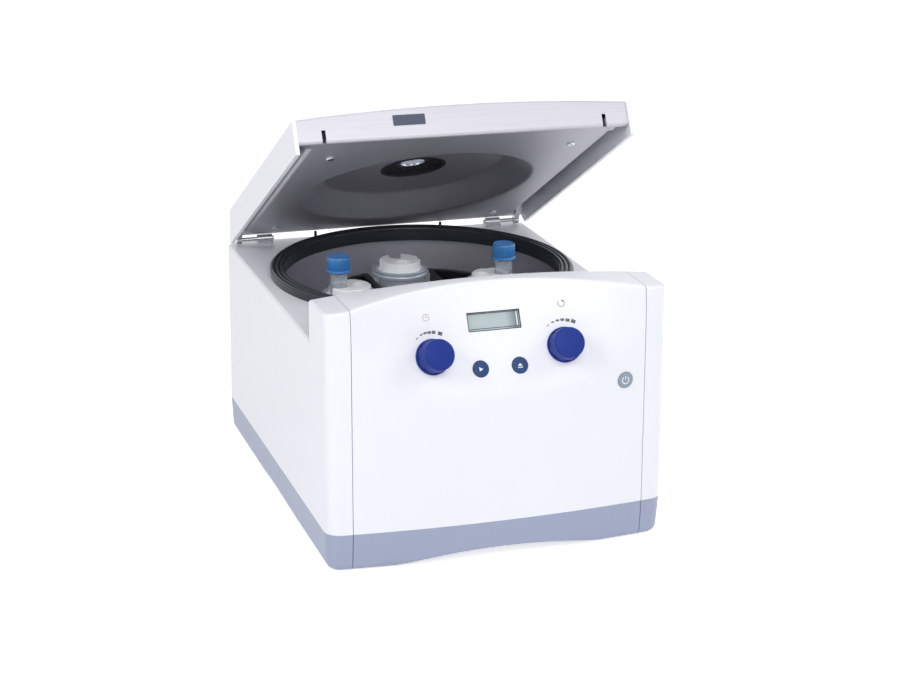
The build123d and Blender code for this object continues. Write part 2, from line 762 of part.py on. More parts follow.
boss_r = 9.0
boss_depth = 6.0            # rear end of the bosses behind the outside of the face
spindle_hole_r = spindle_r + 0.6
pillar_x = 68.0
pillar_y = 24.0
pillar_r = 3.5
frame_w = 0.8
frame_depth = 0.6
bolt_w = 2.6                # latch bolt
bolt_z0 = 211.0
bolt_z1 = 220.0
bolt_room = 0.5
bolt_travel = 6.0
bar_y1 = shoulder_rear_y - wall - bolt_travel - 1.0
bar_y0 = bar_y1 - 5.0
solenoid_x = 100.0
solenoid_w = 20.0
solenoid_h = 16.0
solenoid_y1 = bar_y0 - bolt_travel / 3
solenoid_y0 = solenoid_y1 - 16.0
plunger_r = 3.0
latch_z = (bolt_z0 + bolt_z1) / 2
shelf_t = 1.6
shelf_z = latch_z - solenoid_h / 2
half_wall = envelope(wall / 2)

with BuildPart() as panel_pillars:
    with BuildSketch(board_plane):
        with GridLocations(2 * pillar_x, 2 * pillar_y, 2, 2):
            Circle(pillar_r)
    extrude(amount=2 * board_depth)
    for face in knob_faces.values():
        with BuildSketch(face.offset(-boss_depth)):
            Circle(boss_r)
        extrude(amount=boss_depth)
    add(half_wall, mode=Mode.INTERSECT)

with BuildPart() as front_panel:
    add(outer_block)
    add(inner_block, mode=Mode.SUBTRACT)
    add(panel_zone, mode=Mode.INTERSECT)
    add(panel_pillars.part)
    for face in knob_faces.values():
        with BuildSketch(face.offset(wall)):
            Circle(spindle_hole_r)
        extrude(amount=-(2 * wall + boss_depth), mode=Mode.SUBTRACT)
    for face in [*button_faces.values(), power_face]:
        with BuildSketch(face.offset(wall)):
            Circle(button_r + button_gap)
        extrude(amount=-4 * wall, mode=Mode.SUBTRACT)
    with BuildSketch(display_face.offset(wall)):
        Rectangle(display_w, display_h)
    extrude(amount=-(wall + frame_depth), mode=Mode.SUBTRACT)
    with BuildSketch(display_face.offset(wall)):
        Rectangle(display_w - 2 * frame_w, display_h - 2 * frame_w)
    extrude(amount=-3 * wall, mode=Mode.SUBTRACT)
    # slots for the latch bolts in the rear of the shoulder
    with BuildSketch(Plane.XZ.offset(-shoulder_rear_y)):
        with Locations((-slot_x, (bolt_z0 + bolt_z1) / 2), (slot_x, (bolt_z0 + bolt_z1) / 2)):
            Rectangle(bolt_w + 2 * bolt_room, bolt_z1 - bolt_z0 + 2 * bolt_room)
    extrude(amount=2 * wall, both=True, mode=Mode.SUBTRACT)
    # shelves that carry the latch solenoids
    with BuildSketch(Plane.XY.offset(shelf_z - shelf_t)):
        with Locations((-solenoid_x, solenoid_y0), (solenoid_x, solenoid_y0)):
            Rectangle(
                solenoid_w + 6, shoulder_rear_y - wall / 2 - solenoid_y0, align=(Align.CENTER, Align.MIN)
            )
    extrude(amount=shelf_t)
save("front_panel", front_panel.part)

with BuildPart() as display_frame:
    with BuildSketch(display_face.offset(wall)):
        Rectangle(display_w, display_h)
        Rectangle(display_w - 2 * frame_w, display_h - 2 * frame_w, mode=Mode.SUBTRACT)
    extrude(amount=-(wall + frame_depth))
    add(outer_block, mode=Mode.INTERSECT)
save("display_frame", display_frame.part)

lcd_margin = 4.0
lcd_back = wall + 0.1
with BuildPart() as lcd_module:
    with BuildSketch(display_face.offset(-board_depth)):
        Rectangle(display_w + 2 * lcd_margin, display_h + 2 * lcd_margin)
    extrude(amount=board_depth - lcd_back)
    with BuildSketch(display_face.offset(-lcd_back)):
        Rectangle(display_w - 2 * frame_w - 0.4, display_h - 2 * frame_w - 0.4)
    extrude(amount=lcd_back - display_sink)
save("lcd_module", lcd_module.part)

switch_side = 6.0
switch_h = 4.0
with BuildPart() as control_board:
    with BuildSketch(board_plane):
        Rectangle(board_w, board_h)
    extrude(amount=-board_t)
    with BuildSketch(board_plane):
        for face in button_faces.values():
            spot = board_plane.to_local_coords(face.origin)
            with Locations((spot.X, spot.Y)):
                Rectangle(switch_side, switch_side)
    extrude(amount=switch_h)
    with BuildSketch(board_plane.offset(-board_t)):
        Rectangle(14, 14)
        with Locations((-40, 8), (38, -10)):
            Rectangle(22, 9)
    extrude(amount=-2.5)
save("control_board", control_board.part)

encoder_side = 13.0
encoder_h = 7.0
with BuildPart() as knob_encoders:
    for face in knob_faces.values():
        with BuildSketch(face.offset(-boss_depth)):
            Rectangle(encoder_side, encoder_side)
            Circle(spindle_r + fit, mode=Mode.SUBTRACT)
        extrude(amount=-encoder_h)
save("knob_encoders", knob_encoders.part)

knob_gap = 0.8
skirt_top = 2.6
flat_y = 2.0
spindle_top = 15.0
scallops = 8
scallop_r = 9.0
for name, face in knob_faces.items():
    with BuildPart() as knob:
        with BuildSketch(Plane(face.origin, x_dir=face.x_dir, z_dir=-face.y_dir)):
            with BuildLine():
                Polyline(
                    (0, knob_gap), (knob_skirt_r, knob_gap), (knob_skirt_r, skirt_top),
                    (knob_r, skirt_top), (knob_top_r, knob_h - 1),
                )
                ThreePointArc((knob_top_r, knob_h - 1), (knob_top_r / 2, knob_h - 0.25), (0, knob_h))
                Line((0, knob_h), (0, knob_gap))
            make_face()
        revolve(axis=Axis(face.origin, face.z_dir))
        rims = knob.edges().filter_by(lambda e: e.is_closed)
        fillet(rims.sort_by(Axis(face.origin, face.z_dir))[-1], 1.4)
        with BuildSketch(face.offset(skirt_top)):
            with PolarLocations(knob_r + scallop_r - 0.8, scallops):
                Circle(scallop_r)
        extrude(amount=knob_h, mode=Mode.SUBTRACT)
        with BuildSketch(face):
            Circle(spindle_r + 0.02)
            with Locations((0, flat_y + 0.02)):
                Rectangle(2 * knob_r, knob_r, align=(Align.CENTER, Align.MIN), mode=Mode.SUBTRACT)
        extrude(amount=spindle_top, mode=Mode.SUBTRACT)
    save(f"{name}_knob", knob.part)
    with BuildPart() as spindle:
        with BuildSketch(face.offset(-(boss_depth + encoder_h - 1))):
            Circle(spindle_r)
        extrude(amount=boss_depth + encoder_h - 1 + spindle_top)
        with BuildSketch(face):
            with Locations((0, flat_y)):
                Rectangle(2 * knob_r, knob_r, align=(Align.CENTER, Align.MIN))
        extrude(amount=knob_h, mode=Mode.SUBTRACT)
    save(f"{name}_knob_spindle", spindle.part)

flange_depth = wall + 0.3
flange_t = 1.2
stem_r = 2.0
button_proud = 0.8
stem_foot = board_depth - switch_h - button_travel - 0.3
for name, face in button_faces.items():
    with BuildPart() as button:
        with BuildSketch(face.offset(-flange_depth - flange_t)):
            Circle(button_r + 1.4)
        extrude(amount=flange_t)
        with BuildSketch(face.offset(-flange_depth)):
            Circle(button_r)
        extrude(amount=flange_depth + button_proud)
        fillet(button.edges().sort_by(Axis(face.origin, face.z_dir))[-1], 0.5)
        with BuildSketch(face.offset(-flange_depth - flange_t)):
            Circle(stem_r)
        extrude(amount=-(stem_foot - flange_depth - flange_t))
    save(f"{name}_button", button.part)

power_depth = 10.0
switch_depth = 20.0
with BuildPart() as power_button:
    with BuildSketch(power_face.offset(-power_depth)):
        Circle(button_r)
    extrude(amount=power_depth + button_proud)
    fillet(power_button.edges().sort_by(Axis(power_face.origin, power_face.z_dir))[-1], 0.5)
save("power_button", power_button.part)

with BuildPart() as power_switch:
    with BuildSketch(power_face.offset(-switch_depth)):
        Circle(button_r + button_gap + 2)
    extrude(amount=switch_depth - lcd_back)
    with BuildSketch(power_face.offset(-lcd_back)):
        Circle(button_r + button_gap)
    extrude(amount=lcd_back - power_depth - button_travel - 1, mode=Mode.SUBTRACT)
save("power_switch", power_switch.part)

# ---------------------------------------------------------------- lid latch
with BuildPart() as latch_bar:
    with BuildSketch(Plane.XY.offset(bolt_z0)):
        with Locations((0, bar_y0)):
            Rectangle(2 * slot_x + bolt_w, bar_y1 - bar_y0, align=(Align.CENTER, Align.MIN))
        with Locations((-slot_x, bar_y0), (slot_x, bar_y0)):
            Rectangle(bolt_w, shoulder_rear_y - bar_y0, align=(Align.CENTER, Align.MIN))
    extrude(amount=bolt_z1 - bolt_z0)
    with BuildSketch(Plane.XZ.offset(-bar_y0)):
        with Locations((-solenoid_x, latch_z), (solenoid_x, latch_z)):
            Circle(plunger_r)
    extrude(amount=12.0)
save("latch_bar", latch_bar.part)

with BuildPart() as latch_solenoids:
    with BuildSketch(Plane.XZ.offset(-solenoid_y1)):
        with Locations((-solenoid_x, latch_z), (solenoid_x, latch_z)):
            Rectangle(solenoid_w, solenoid_h)
            Circle(plunger_r + fit, mode=Mode.SUBTRACT)
    extrude(amount=solenoid_y1 - solenoid_y0)
save("latch_solenoids", latch_solenoids.part)

# ---------------------------------------------------------------- hinge on the housing
knuckle_foot_y0 = hinge_y - 6.0
knuckle_foot_y1 = hinge_y + 4.0
pin_in_x = bracket_in_x - 2.0
stop_pin_r = 1.5
stop_pin_h = 6.9
stop_pin_places = [(-67.5, 193.0), (67.5, 193.0)]
hinge_side = Plane((0, hinge_y, hinge_z), x_dir=(0, 1, 0), z_dir=(1, 0, 0))

with BuildPart() as hinge_brackets:
    for side in (-1, 1):
        with BuildSketch(hinge_side.offset(side * bracket_in_x)):
            with BuildLine():
                Polyline(
                    (-knuckle_r, 0), (knuckle_foot_y0 - hinge_y, deck_z + 1.6 - hinge_z),
                    (knuckle_foot_y0 - hinge_y, deck_z - hinge_z),
                    (knuckle_foot_y1 - hinge_y, deck_z - hinge_z),
                    (knuckle_foot_y1 - hinge_y, deck_z + 1.6 - hinge_z), (knuckle_r, 0),
                )
                ThreePointArc((knuckle_r, 0), (0, knuckle_r), (-knuckle_r, 0))
            make_face()
            Circle(hinge_pin_r + 0.02, mode=Mode.SUBTRACT)
        extrude(amount=side * (bracket_out_x - bracket_in_x))
save("hinge_brackets", hinge_brackets.part)

with BuildPart() as hinge_pins:
    for side in (-1, 1):
        with BuildSketch(hinge_side.offset(side * pin_in_x)):
            Circle(hinge_pin_r)
        extrude(amount=side * (arm_out_x - pin_in_x))
save("hinge_pins", hinge_pins.part)

with BuildPart() as lid_stop_pins:
    with BuildSketch(Plane.XY.offset(deck_z)):
        with Locations(*stop_pin_places):
            Circle(stop_pin_r)
    extrude(amount=stop_pin_h)
    fillet(lid_stop_pins.edges().group_by(Axis.Z)[-1], 0.6)
save("lid_stop_pins", lid_stop_pins.part)

# ---------------------------------------------------------------- lid
lid_sin = sin(radians(lid_open))
lid_cos = cos(radians(lid_open))


def lid_point(x, u, v):
    """Place x across, u in front of the hinge axis and v above it, on the open lid."""
    return (x, hinge_y - u * lid_cos + v * lid_sin, hinge_z + u * lid_sin + v * lid_cos)


def lid_level(v):
    """Plane along the lid at height v: x across, y towards the hinge."""
    return Plane(lid_point(0, 0, v), x_dir=(1, 0, 0), z_dir=(0, lid_sin, lid_cos))


def lid_across(u):
    """Plane across the lid: x across, y away from the chamber."""
    return Plane(lid_point(0, u, 0), x_dir=(1, 0, 0), z_dir=(0, -lid_cos, lid_sin))


def lid_side(x):
    """Plane along the lid's side: x towards the front, y away from the chamber."""
    return Plane(lid_point(x, 0, 0), x_dir=(0, -lid_cos, lid_sin), z_dir=(-1, 0, 0))


lid_half = body_width / 2
shell_front_u = lid_reach + 0.8
shell_flank = lid_half - lid_lip_half - 0.2
heel_u = 8.0                # the flanks end here, clear of the deck
heel_v = lid_plate_v
lean_u = 9.9
lean_v = 21.35
lean = lean_u / (lean_v - heel_v)   # the rear wall stands upright when the lid is open
high_v = lid_top_v + 30.0
lid_rear_r = 9.0
lid_edge_r = 2.0
dish_u = hinge_y - chamber_y
port_bore_r = port_r + 0.5
glass_ring_r = 15.5
glass_bore_r = glass_ring_r + 0.1
screw_places = [(x, u) for x in (-116.5, 116.5) for u in (26.0, 269.0)]
screw_r = 1.5
screw_head_r = 3.6
screw_head_h = 1.6
screw_len = 10.0
boss_out_r = 4.5
arm_screw_x = 138.0
arm_screws = [(side * arm_screw_x, 21.0) for side in (-1, 1)]
arm_top_v = 24.7
above_lid = above_arc(lid_across(-body_depth / 2), body_width, lid_top_v, lid_crown_r, body_depth)
above_room = above_arc(
    lid_across(-body_depth / 2), body_width, lid_top_v - lid_wall, lid_crown_r - lid_wall, body_depth
)

above_lip = above_arc(
    lid_across(-body_depth / 2), body_width, lid_top_v - lip_inset, lid_crown_r - lip_inset, body_depth
)

with BuildPart() as lid_room:
    with BuildSketch(lid_side(0)):
        with BuildLine():
            Polyline(
                (-lid_wall, lid_skirt_v - 10), (-lid_wall, heel_v), (lid_wall, heel_v),
                (lid_wall + lean * (high_v - heel_v), high_v), (2 * lid_reach, high_v),
                (2 * lid_reach, lid_skirt_v - 10), close=True,
            )
        make_face()
    extrude(amount=lid_half - shell_flank, both=True)
    extrude(above_room, amount=2 * body_depth, mode=Mode.SUBTRACT)

with BuildPart() as lip_room:
    with BuildSketch(lid_side(0)):
        with Locations((lid_reach - lid_sheet - 0.2, lid_skirt_v - 10)):
            Rectangle(lid_reach, body_depth, align=(Align.MIN, Align.MIN))
    extrude(amount=lid_half - shell_flank, both=True)
    extrude(above_lip, amount=2 * body_depth, mode=Mode.SUBTRACT)

with BuildPart() as lid_bosses:
    with BuildSketch(lid_level(lid_plate_v + lid_sheet)):
        with Locations(*[(x, -u) for x, u in screw_places]):
            Circle(boss_out_r)
    extrude(amount=lid_top_v)
    with BuildSketch(lid_level(arm_top_v)):
        with Locations(*[(x, -u) for x, u in arm_screws]):
            Circle(boss_out_r)
    extrude(amount=lid_top_v)
    add(lid_room.part, mode=Mode.INTERSECT)

with BuildPart() as lid_shell:
    with BuildSketch(lid_side(0)):
        with BuildLine():
            Polyline(
                (0, heel_v), (heel_u, lid_skirt_v), (shell_front_u, lid_skirt_v),
                (shell_front_u, high_v), (lean * (high_v - heel_v), high_v), close=True,
            )
        make_face()
    extrude(amount=lid_half, both=True)
    rear_corners = lid_shell.edges().filter_by(
        lambda e: e.center().Y > hinge_y - 40
        and abs(e.center().X) > lid_half - 1
        and e.center().Z > hinge_z + 15)
    fillet(rear_corners.sort_by(Axis.Y)[-2:], lid_rear_r)
    extrude(above_lid, amount=2 * body_depth, mode=Mode.SUBTRACT)
    top_face = lid_shell.faces().sort_by(Axis(lid_point(0, dish_u, 0), (0, lid_sin, lid_cos)))[-1]
    fillet(top_face.edges(), lid_edge_r)
    add(lid_room.part, mode=Mode.SUBTRACT)
    add(lip_room.part, mode=Mode.SUBTRACT)
    add(lid_bosses.part)
    with BuildSketch(lid_level(0)):
        with Locations((0, -dish_u)):
            Circle(glass_bore_r)
    extrude(amount=2 * lid_top_v, mode=Mode.SUBTRACT)
    with BuildSketch(lid_level(lid_plate_v)):
        with Locations(*[(x, -u) for x, u in screw_places]):
            Circle(screw_r + 0.02)
    extrude(amount=screw_len + 1, mode=Mode.SUBTRACT)
save("lid_shell", lid_shell.part)

roll_r = 5.5
roll_h = 8.0
lip_fold_r = 3.5
plate_rear_u = lid_wall + 1.0
roll_rear_u = 12.0
pan_front_u = lid_reach - lip_fold_r - 1.0
corner_slit = 1.0
dish_round = 6.0
plate_top_v = lid_plate_v + lid_sheet
dish_section = lid_across(dish_u)
dish_axis = Axis(lid_point(0, dish_u, 0), (0, lid_sin, lid_cos))

with BuildPart() as lid_plate:
    # pan with its long sides rolled upwards
    with BuildSketch(lid_across(pan_front_u)):
        with BuildLine():
            FilletPolyline(
                (-lid_plate_half, lid_plate_v + roll_h), (-lid_plate_half, lid_plate_v),
                (lid_plate_half, lid_plate_v), (lid_plate_half, lid_plate_v + roll_h), radius=roll_r,
            )
            Line(
                (lid_plate_half, lid_plate_v + roll_h),
                (lid_plate_half - lid_sheet, lid_plate_v + roll_h),
            )
            FilletPolyline(
                (lid_plate_half - lid_sheet, lid_plate_v + roll_h), (lid_plate_half - lid_sheet, plate_top_v),
                (lid_sheet - lid_plate_half, plate_top_v), (lid_sheet - lid_plate_half, lid_plate_v + roll_h),
                radius=roll_r - lid_sheet,
            )
            Line(
                (lid_sheet - lid_plate_half, lid_plate_v + roll_h),
                (-lid_plate_half, lid_plate_v + roll_h),
            )
        make_face()
    extrude(amount=-(pan_front_u - plate_rear_u))
    # front lip, wider than the pan and folded up from it
    with BuildSketch(lid_side(0)):
        with BuildLine():
            FilletPolyline(
                (pan_front_u - 10, lid_plate_v), (lid_reach, lid_plate_v), (lid_reach, lid_top_v),
                radius=lip_fold_r,
            )
            Line((lid_reach, lid_top_v), (lid_reach - lid_sheet, lid_top_v))
            FilletPolyline(
                (lid_reach - lid_sheet, lid_top_v), (lid_reach - lid_sheet, plate_top_v),
                (pan_front_u - 10, plate_top_v), radius=lip_fold_r - lid_sheet,
            )
            Line((pan_front_u - 10, plate_top_v), (pan_front_u - 10, lid_plate_v))
        make_face()
    extrude(amount=lid_lip_half, both=True)
    extrude(above_lip, amount=2 * body_depth, mode=Mode.SUBTRACT)
    with BuildSketch(lid_level(0)):
        for side in (-1, 1):
            with Locations((side * (lid_plate_half + lid_half) / 2, -pan_front_u / 2)):
                Rectangle(lid_half - lid_plate_half, pan_front_u)
            with Locations((side * (lid_plate_half - corner_slit / 2), -pan_front_u)):
                Rectangle(corner_slit, 3.0)
            Polygon(
                (side * (lid_plate_half - roll_r - 4), -plate_rear_u),
                (side * (lid_plate_half - roll_r), -roll_rear_u),
                (side * lid_half, -roll_rear_u), (side * lid_half, -plate_rear_u), align=None,
            )
    extrude(amount=lid_top_v, mode=Mode.SUBTRACT)
    # dish over the rotor, with a hole for the viewing port
    with BuildSketch(lid_level(0)):
        with Locations((0, -dish_u)):
            Circle(dish_rim_r + dish_round)
    extrude(amount=lid_top_v, mode=Mode.SUBTRACT)
    with BuildSketch(dish_section):
        with BuildLine():
            FilletPolyline(
                (dish_rim_r + dish_round, lid_plate_v), (dish_rim_r, lid_plate_v),
                (dish_floor_r, lid_plate_v + dish_depth), (port_bore_r, lid_plate_v + dish_depth),
                radius=dish_round,
            )
            Line(
                (port_bore_r, lid_plate_v + dish_depth), (port_bore_r, plate_top_v + dish_depth)
            )
            FilletPolyline(
                (port_bore_r, plate_top_v + dish_depth), (dish_floor_r + 0.5, plate_top_v + dish_depth),
                (dish_rim_r + 0.5, plate_top_v), (dish_rim_r + dish_round, plate_top_v), radius=dish_round,
            )
            Line((dish_rim_r + dish_round, plate_top_v), (dish_rim_r + dish_round, lid_plate_v))
        make_face()
    revolve(axis=dish_axis)
    # slots for the latch bolts and holes for the screws
    with BuildSketch(lid_across(lid_reach)):
        with Locations((-slot_x, plate_top_v - 0.9 + slot_h / 2), (slot_x, plate_top_v - 0.9 + slot_h / 2)):
            Rectangle(slot_w, slot_h)
    extrude(amount=-3 * lid_sheet, mode=Mode.SUBTRACT)
    with BuildSketch(lid_level(0)):
        with Locations(*[(x, -u) for x, u in screw_places]):
            Circle(screw_r + 0.1)
    extrude(amount=lid_top_v, mode=Mode.SUBTRACT)
save("lid_plate", lid_plate.part)

with BuildPart() as lid_screws:
    with BuildSketch(lid_level(lid_plate_v)):
        with Locations(*[(x, -u) for x, u in screw_places]):
            Circle(screw_head_r)
    extrude(amount=-screw_head_h)
    chamfer(lid_screws.edges().filter_by(lambda e: e.is_closed).group_by(
        Axis(lid_point(0, 0, 0), (0, lid_sin, lid_cos)))[0], 0.5)
    with BuildSketch(lid_level(lid_plate_v)):
        with Locations(*[(x, -u) for x, u in screw_places]):
            Circle(screw_r)
    extrude(amount=screw_len)
    with BuildSketch(lid_level(lid_plate_v - screw_head_h)):
        with Locations(*[(x, -u) for x, u in screw_places]):
            Rectangle(3.6, 0.9)
            Rectangle(0.9, 3.6)
    extrude(amount=1.0, mode=Mode.SUBTRACT)
save("lid_screws", lid_screws.part)

label_x0 = -67.8
label_x1 = -37.9
label_v0 = 16.7
label_v1 = 26.4
with BuildPart() as lip_label:
    with BuildSketch(lid_across(lid_reach)):
        with Locations(((label_x0 + label_x1) / 2, (label_v0 + label_v1) / 2)):
            RectangleRounded(label_x1 - label_x0, label_v1 - label_v0, 0.8)
    extrude(amount=0.4)
save("lip_label", lip_label.part)

cup_floor_v = lid_plate_v + dish_depth + 3.0
cup_hole_r = glass_ring_r + 0.2
ring_foot_v = cup_floor_v + 1.6
with BuildPart() as port_cup:
    with BuildSketch(dish_section):
        with BuildLine():
            Polyline(
                (port_r, lid_plate_v + dish_depth - 0.6),
                (port_bore_r + 1.6, lid_plate_v + dish_depth - 0.6),
                (port_bore_r + 1.6, lid_plate_v + dish_depth - 0.05),
                (port_r, lid_plate_v + dish_depth - 0.05),
                (port_r, cup_floor_v + 1.2), (cup_hole_r, cup_floor_v + 1.2), (cup_hole_r, cup_floor_v),
                (port_r - 1.2, cup_floor_v), (port_r - 1.2, lid_plate_v + dish_depth - 0.6), close=True,
            )
        make_face()
    revolve(axis=dish_axis)
save("port_cup", port_cup.part)

with BuildPart() as port_ring:
    with BuildSketch(dish_section):
        with BuildLine():
            Polyline(
                (port_glass_r - 1.2, ring_foot_v), (glass_ring_r + 2, ring_foot_v),
                (glass_ring_r + 2, lid_top_v - lid_wall - 0.2), (glass_ring_r, lid_top_v - lid_wall - 0.2),
                (glass_ring_r, lid_top_v - 0.2), (port_glass_r, lid_top_v - 0.2),
                (port_glass_r, ring_foot_v + 0.4), (port_glass_r - 1.2, ring_foot_v + 0.4), close=True,
            )
        make_face()
    revolve(axis=dish_axis)
save("port_ring", port_ring.part)

with BuildPart() as port_glass:
    with BuildSketch(lid_level(ring_foot_v + 0.4)):
        with Locations((0, -dish_u)):
            Circle(port_glass_r)
    extrude(amount=2.0)
save("port_glass", port_glass.part)

arm_r = knuckle_r + 0.3
arm_front_u = 26.0
arm_tip_h = 8.0
arm_flange = 2.0
arm_gap = 0.4
arm_root_u = lid_wall + arm_gap
arm_back_u = arm_root_u + lean * (arm_top_v - heel_v)
with BuildPart() as lid_hinge_arms:
    for side in (-1, 1):
        with BuildSketch(lid_side(side * arm_in_x)):
            Circle(arm_r)
            Polygon(
                (0, -arm_r), (arm_front_u, arm_top_v - arm_tip_h), (arm_front_u, arm_top_v),
                (arm_back_u, arm_top_v), (arm_root_u, heel_v), (0, 0), align=None,
            )
            Circle(hinge_pin_r + fit, mode=Mode.SUBTRACT)
        extrude(amount=-side * (arm_out_x - arm_in_x))
        with BuildSketch(lid_side(side * arm_in_x)):
            with Locations(((arm_back_u + arm_front_u) / 2, arm_top_v - arm_flange / 2)):
                Rectangle(arm_front_u - arm_back_u, arm_flange)
        extrude(amount=side * (arm_in_x - arm_screw_x + boss_out_r))
save("lid_hinge_arms", lid_hinge_arms.part)

# ---------------------------------------------------------------- mains inlet and supply
inlet_gap = 0.2
inlet_depth = 24.0
socket_w = 22.4
socket_h = 15.6
socket_depth = 16.0
socket_dz = 12.0
prong_w = 4.0
prong_t = 2.0
prong_len = 12.5
prong_spots = ((-7, -2), (0, 2), (7, -2))   # from the middle of the socket, in X and Z
drawer_w = 20.0
drawer_h = 13.0
drawer_dz = -14.0
drawer_depth = 18.0
inlet_flange_w = 3.0
inlet_flange_t = 2.6
inlet_plane = rear_plane.offset(inlet_flange_t)
with BuildPart() as mains_inlet:
    with BuildSketch(inlet_plane):
        with Locations((-inlet_x, inlet_z)):
            Rectangle(inlet_w - 2 * inlet_gap, inlet_h - 2 * inlet_gap)
    extrude(amount=-inlet_depth - inlet_flange_t)
    with BuildSketch(rear_plane):
        with Locations((-inlet_x, inlet_z)):
            RectangleRounded(inlet_w + 2 * inlet_flange_w, inlet_h + 2 * inlet_flange_w, 2.0)
    extrude(amount=inlet_flange_t)
    with BuildSketch(inlet_plane):
        with Locations((-inlet_x, inlet_z + socket_dz)):
            RectangleRounded(socket_w, socket_h, 2.5)
    extrude(amount=-socket_depth, mode=Mode.SUBTRACT)
    with BuildSketch(inlet_plane):
        with Locations((-inlet_x, inlet_z + drawer_dz)):
            Rectangle(drawer_w, drawer_h)
    extrude(amount=-drawer_depth, mode=Mode.SUBTRACT)
save("mains_inlet", mains_inlet.part)

with BuildPart() as inlet_prongs:
    with BuildSketch(inlet_plane.offset(-socket_depth)):
        with Locations(*[(-inlet_x + dx, inlet_z + socket_dz + dz) for dx, dz in prong_spots]):
            Rectangle(prong_t, prong_w)
    extrude(amount=prong_len)
save("inlet_prongs", inlet_prongs.part)

with BuildPart() as fuse_drawer:
    with BuildSketch(inlet_plane):
        with Locations((-inlet_x, inlet_z + drawer_dz)):
            Rectangle(drawer_w - 2 * inlet_gap, drawer_h - 2 * inlet_gap)
    extrude(amount=-(drawer_depth - 0.5))
    with BuildSketch(inlet_plane):
        with Locations((-inlet_x, inlet_z + drawer_dz + drawer_h / 2 - 1.5)):
            Rectangle(9, 3)
    extrude(amount=-3.0, mode=Mode.SUBTRACT)
save("fuse_drawer", fuse_drawer.part)

supply_x0 = -100.0
supply_x1 = 30.0
supply_y0 = -178.0
supply_y1 = -112.0
supply_h = 52.0
case_sheet = 1.5
with BuildPart() as power_supply:
    with BuildSketch(Plane.XY.offset(floor_top_z)):
        with Locations(((supply_x0 + supply_x1) / 2, (supply_y0 + supply_y1) / 2)):
            Rectangle(supply_x1 - supply_x0, supply_y1 - supply_y0)
    extrude(amount=supply_h)
    fillet(power_supply.edges().filter_by(Axis.Z), 2.0)
    with BuildSketch(Plane.XY.offset(floor_top_z + supply_h)):
        with Locations(((supply_x0 + supply_x1) / 2, (supply_y0 + supply_y1) / 2)):
            with GridLocations(10, 1, 9, 1):
                SlotOverall(40, 4, rotation=90)
    extrude(amount=-case_sheet * 4, mode=Mode.SUBTRACT)
save("power_supply", power_supply.part)

drive_x = 121.0
drive_y = 30.0
drive_w = 46.0
drive_len = 120.0
standoff_h = 8.0
with BuildPart() as drive_board:
    with BuildSketch(Plane.XY.offset(floor_top_z)):
        with Locations((drive_x, drive_y)):
            with GridLocations(drive_w - 10, drive_len - 10, 2, 2):
                Circle(3)
    extrude(amount=standoff_h)
    with BuildSketch(Plane.XY.offset(floor_top_z + standoff_h)):
        with Locations((drive_x, drive_y)):
            Rectangle(drive_w, drive_len)
    extrude(amount=board_t)
    with BuildSketch(Plane.XY.offset(floor_top_z + standoff_h + board_t)):
        with Locations((drive_x, drive_y)):
            with GridLocations(22, 30, 2, 3):
                Circle(8)
    extrude(amount=24.0)
    with BuildSketch(Plane.XY.offset(floor_top_z + standoff_h + board_t)):
        with Locations((drive_x, drive_y + drive_len / 2 - 8)):
            Rectangle(30, 10)
    extrude(amount=12.0)
save("drive_board", drive_board.part)
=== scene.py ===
# %% [markdown]
# # A benchtop centrifuge for tubes, dressed in Blender
# The construction is already modelled at its real size, piece by piece. This lesson gives every surface
# its finish, adds the printed marks and fine mouldings that are too small for the construction model,
# and sets up a plain studio around it. All lengths are in metres, +X is to the right, +Y to the rear.

# %% Load the construction model
from math import cos, pi, radians, sin

import bpy
import numpy as np
from mathutils import Matrix, Vector
from mathutils.bvhtree import BVHTree


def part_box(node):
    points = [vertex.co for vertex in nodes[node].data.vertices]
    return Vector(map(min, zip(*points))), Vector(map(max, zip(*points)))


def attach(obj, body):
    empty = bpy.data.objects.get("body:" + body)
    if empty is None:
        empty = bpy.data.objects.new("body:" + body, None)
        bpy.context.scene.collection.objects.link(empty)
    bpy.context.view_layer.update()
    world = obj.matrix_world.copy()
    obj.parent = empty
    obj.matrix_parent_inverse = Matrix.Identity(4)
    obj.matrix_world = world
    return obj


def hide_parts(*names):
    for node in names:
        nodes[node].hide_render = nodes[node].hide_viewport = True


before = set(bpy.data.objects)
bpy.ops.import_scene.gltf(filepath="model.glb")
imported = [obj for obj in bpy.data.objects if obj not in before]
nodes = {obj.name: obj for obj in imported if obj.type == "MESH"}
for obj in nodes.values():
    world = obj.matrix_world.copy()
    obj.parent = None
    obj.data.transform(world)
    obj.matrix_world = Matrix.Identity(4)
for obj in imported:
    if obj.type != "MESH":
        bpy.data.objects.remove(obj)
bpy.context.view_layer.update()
MM = 0.001

# %% [markdown]
# ## The camera
# A product picture is taken with a long lens from a little above and to the left. A long lens keeps the
# two flanks nearly parallel. The camera is aimed by a turntable angle, a height angle and a slight roll,
# which is easier to read than a matrix.

# %% Place the camera
AIM = Vector((15.04 * MM, 0.0, 144.72 * MM))
TURN, HEIGHT, ROLL = radians(-18.67), radians(18.21), radians(0.77)
DISTANCE = 2.017
LENS_MM = 83.375


def look_matrix(aim, turn, height, roll, distance):
    """World matrix of a camera that circles the aim: turn about Z, then height above the horizon."""
    back = Vector((sin(turn) * cos(height), -cos(turn) * cos(height), sin(height)))
    right = Vector((cos(turn), sin(turn), 0.0))
    up = back.cross(right)
    right, up = right * cos(roll) + up * sin(roll), up * cos(roll) - right * sin(roll)
    spot = aim + back * distance
    return Matrix.Translation(spot) @ Matrix((right, up, back)).transposed().to_4x4()


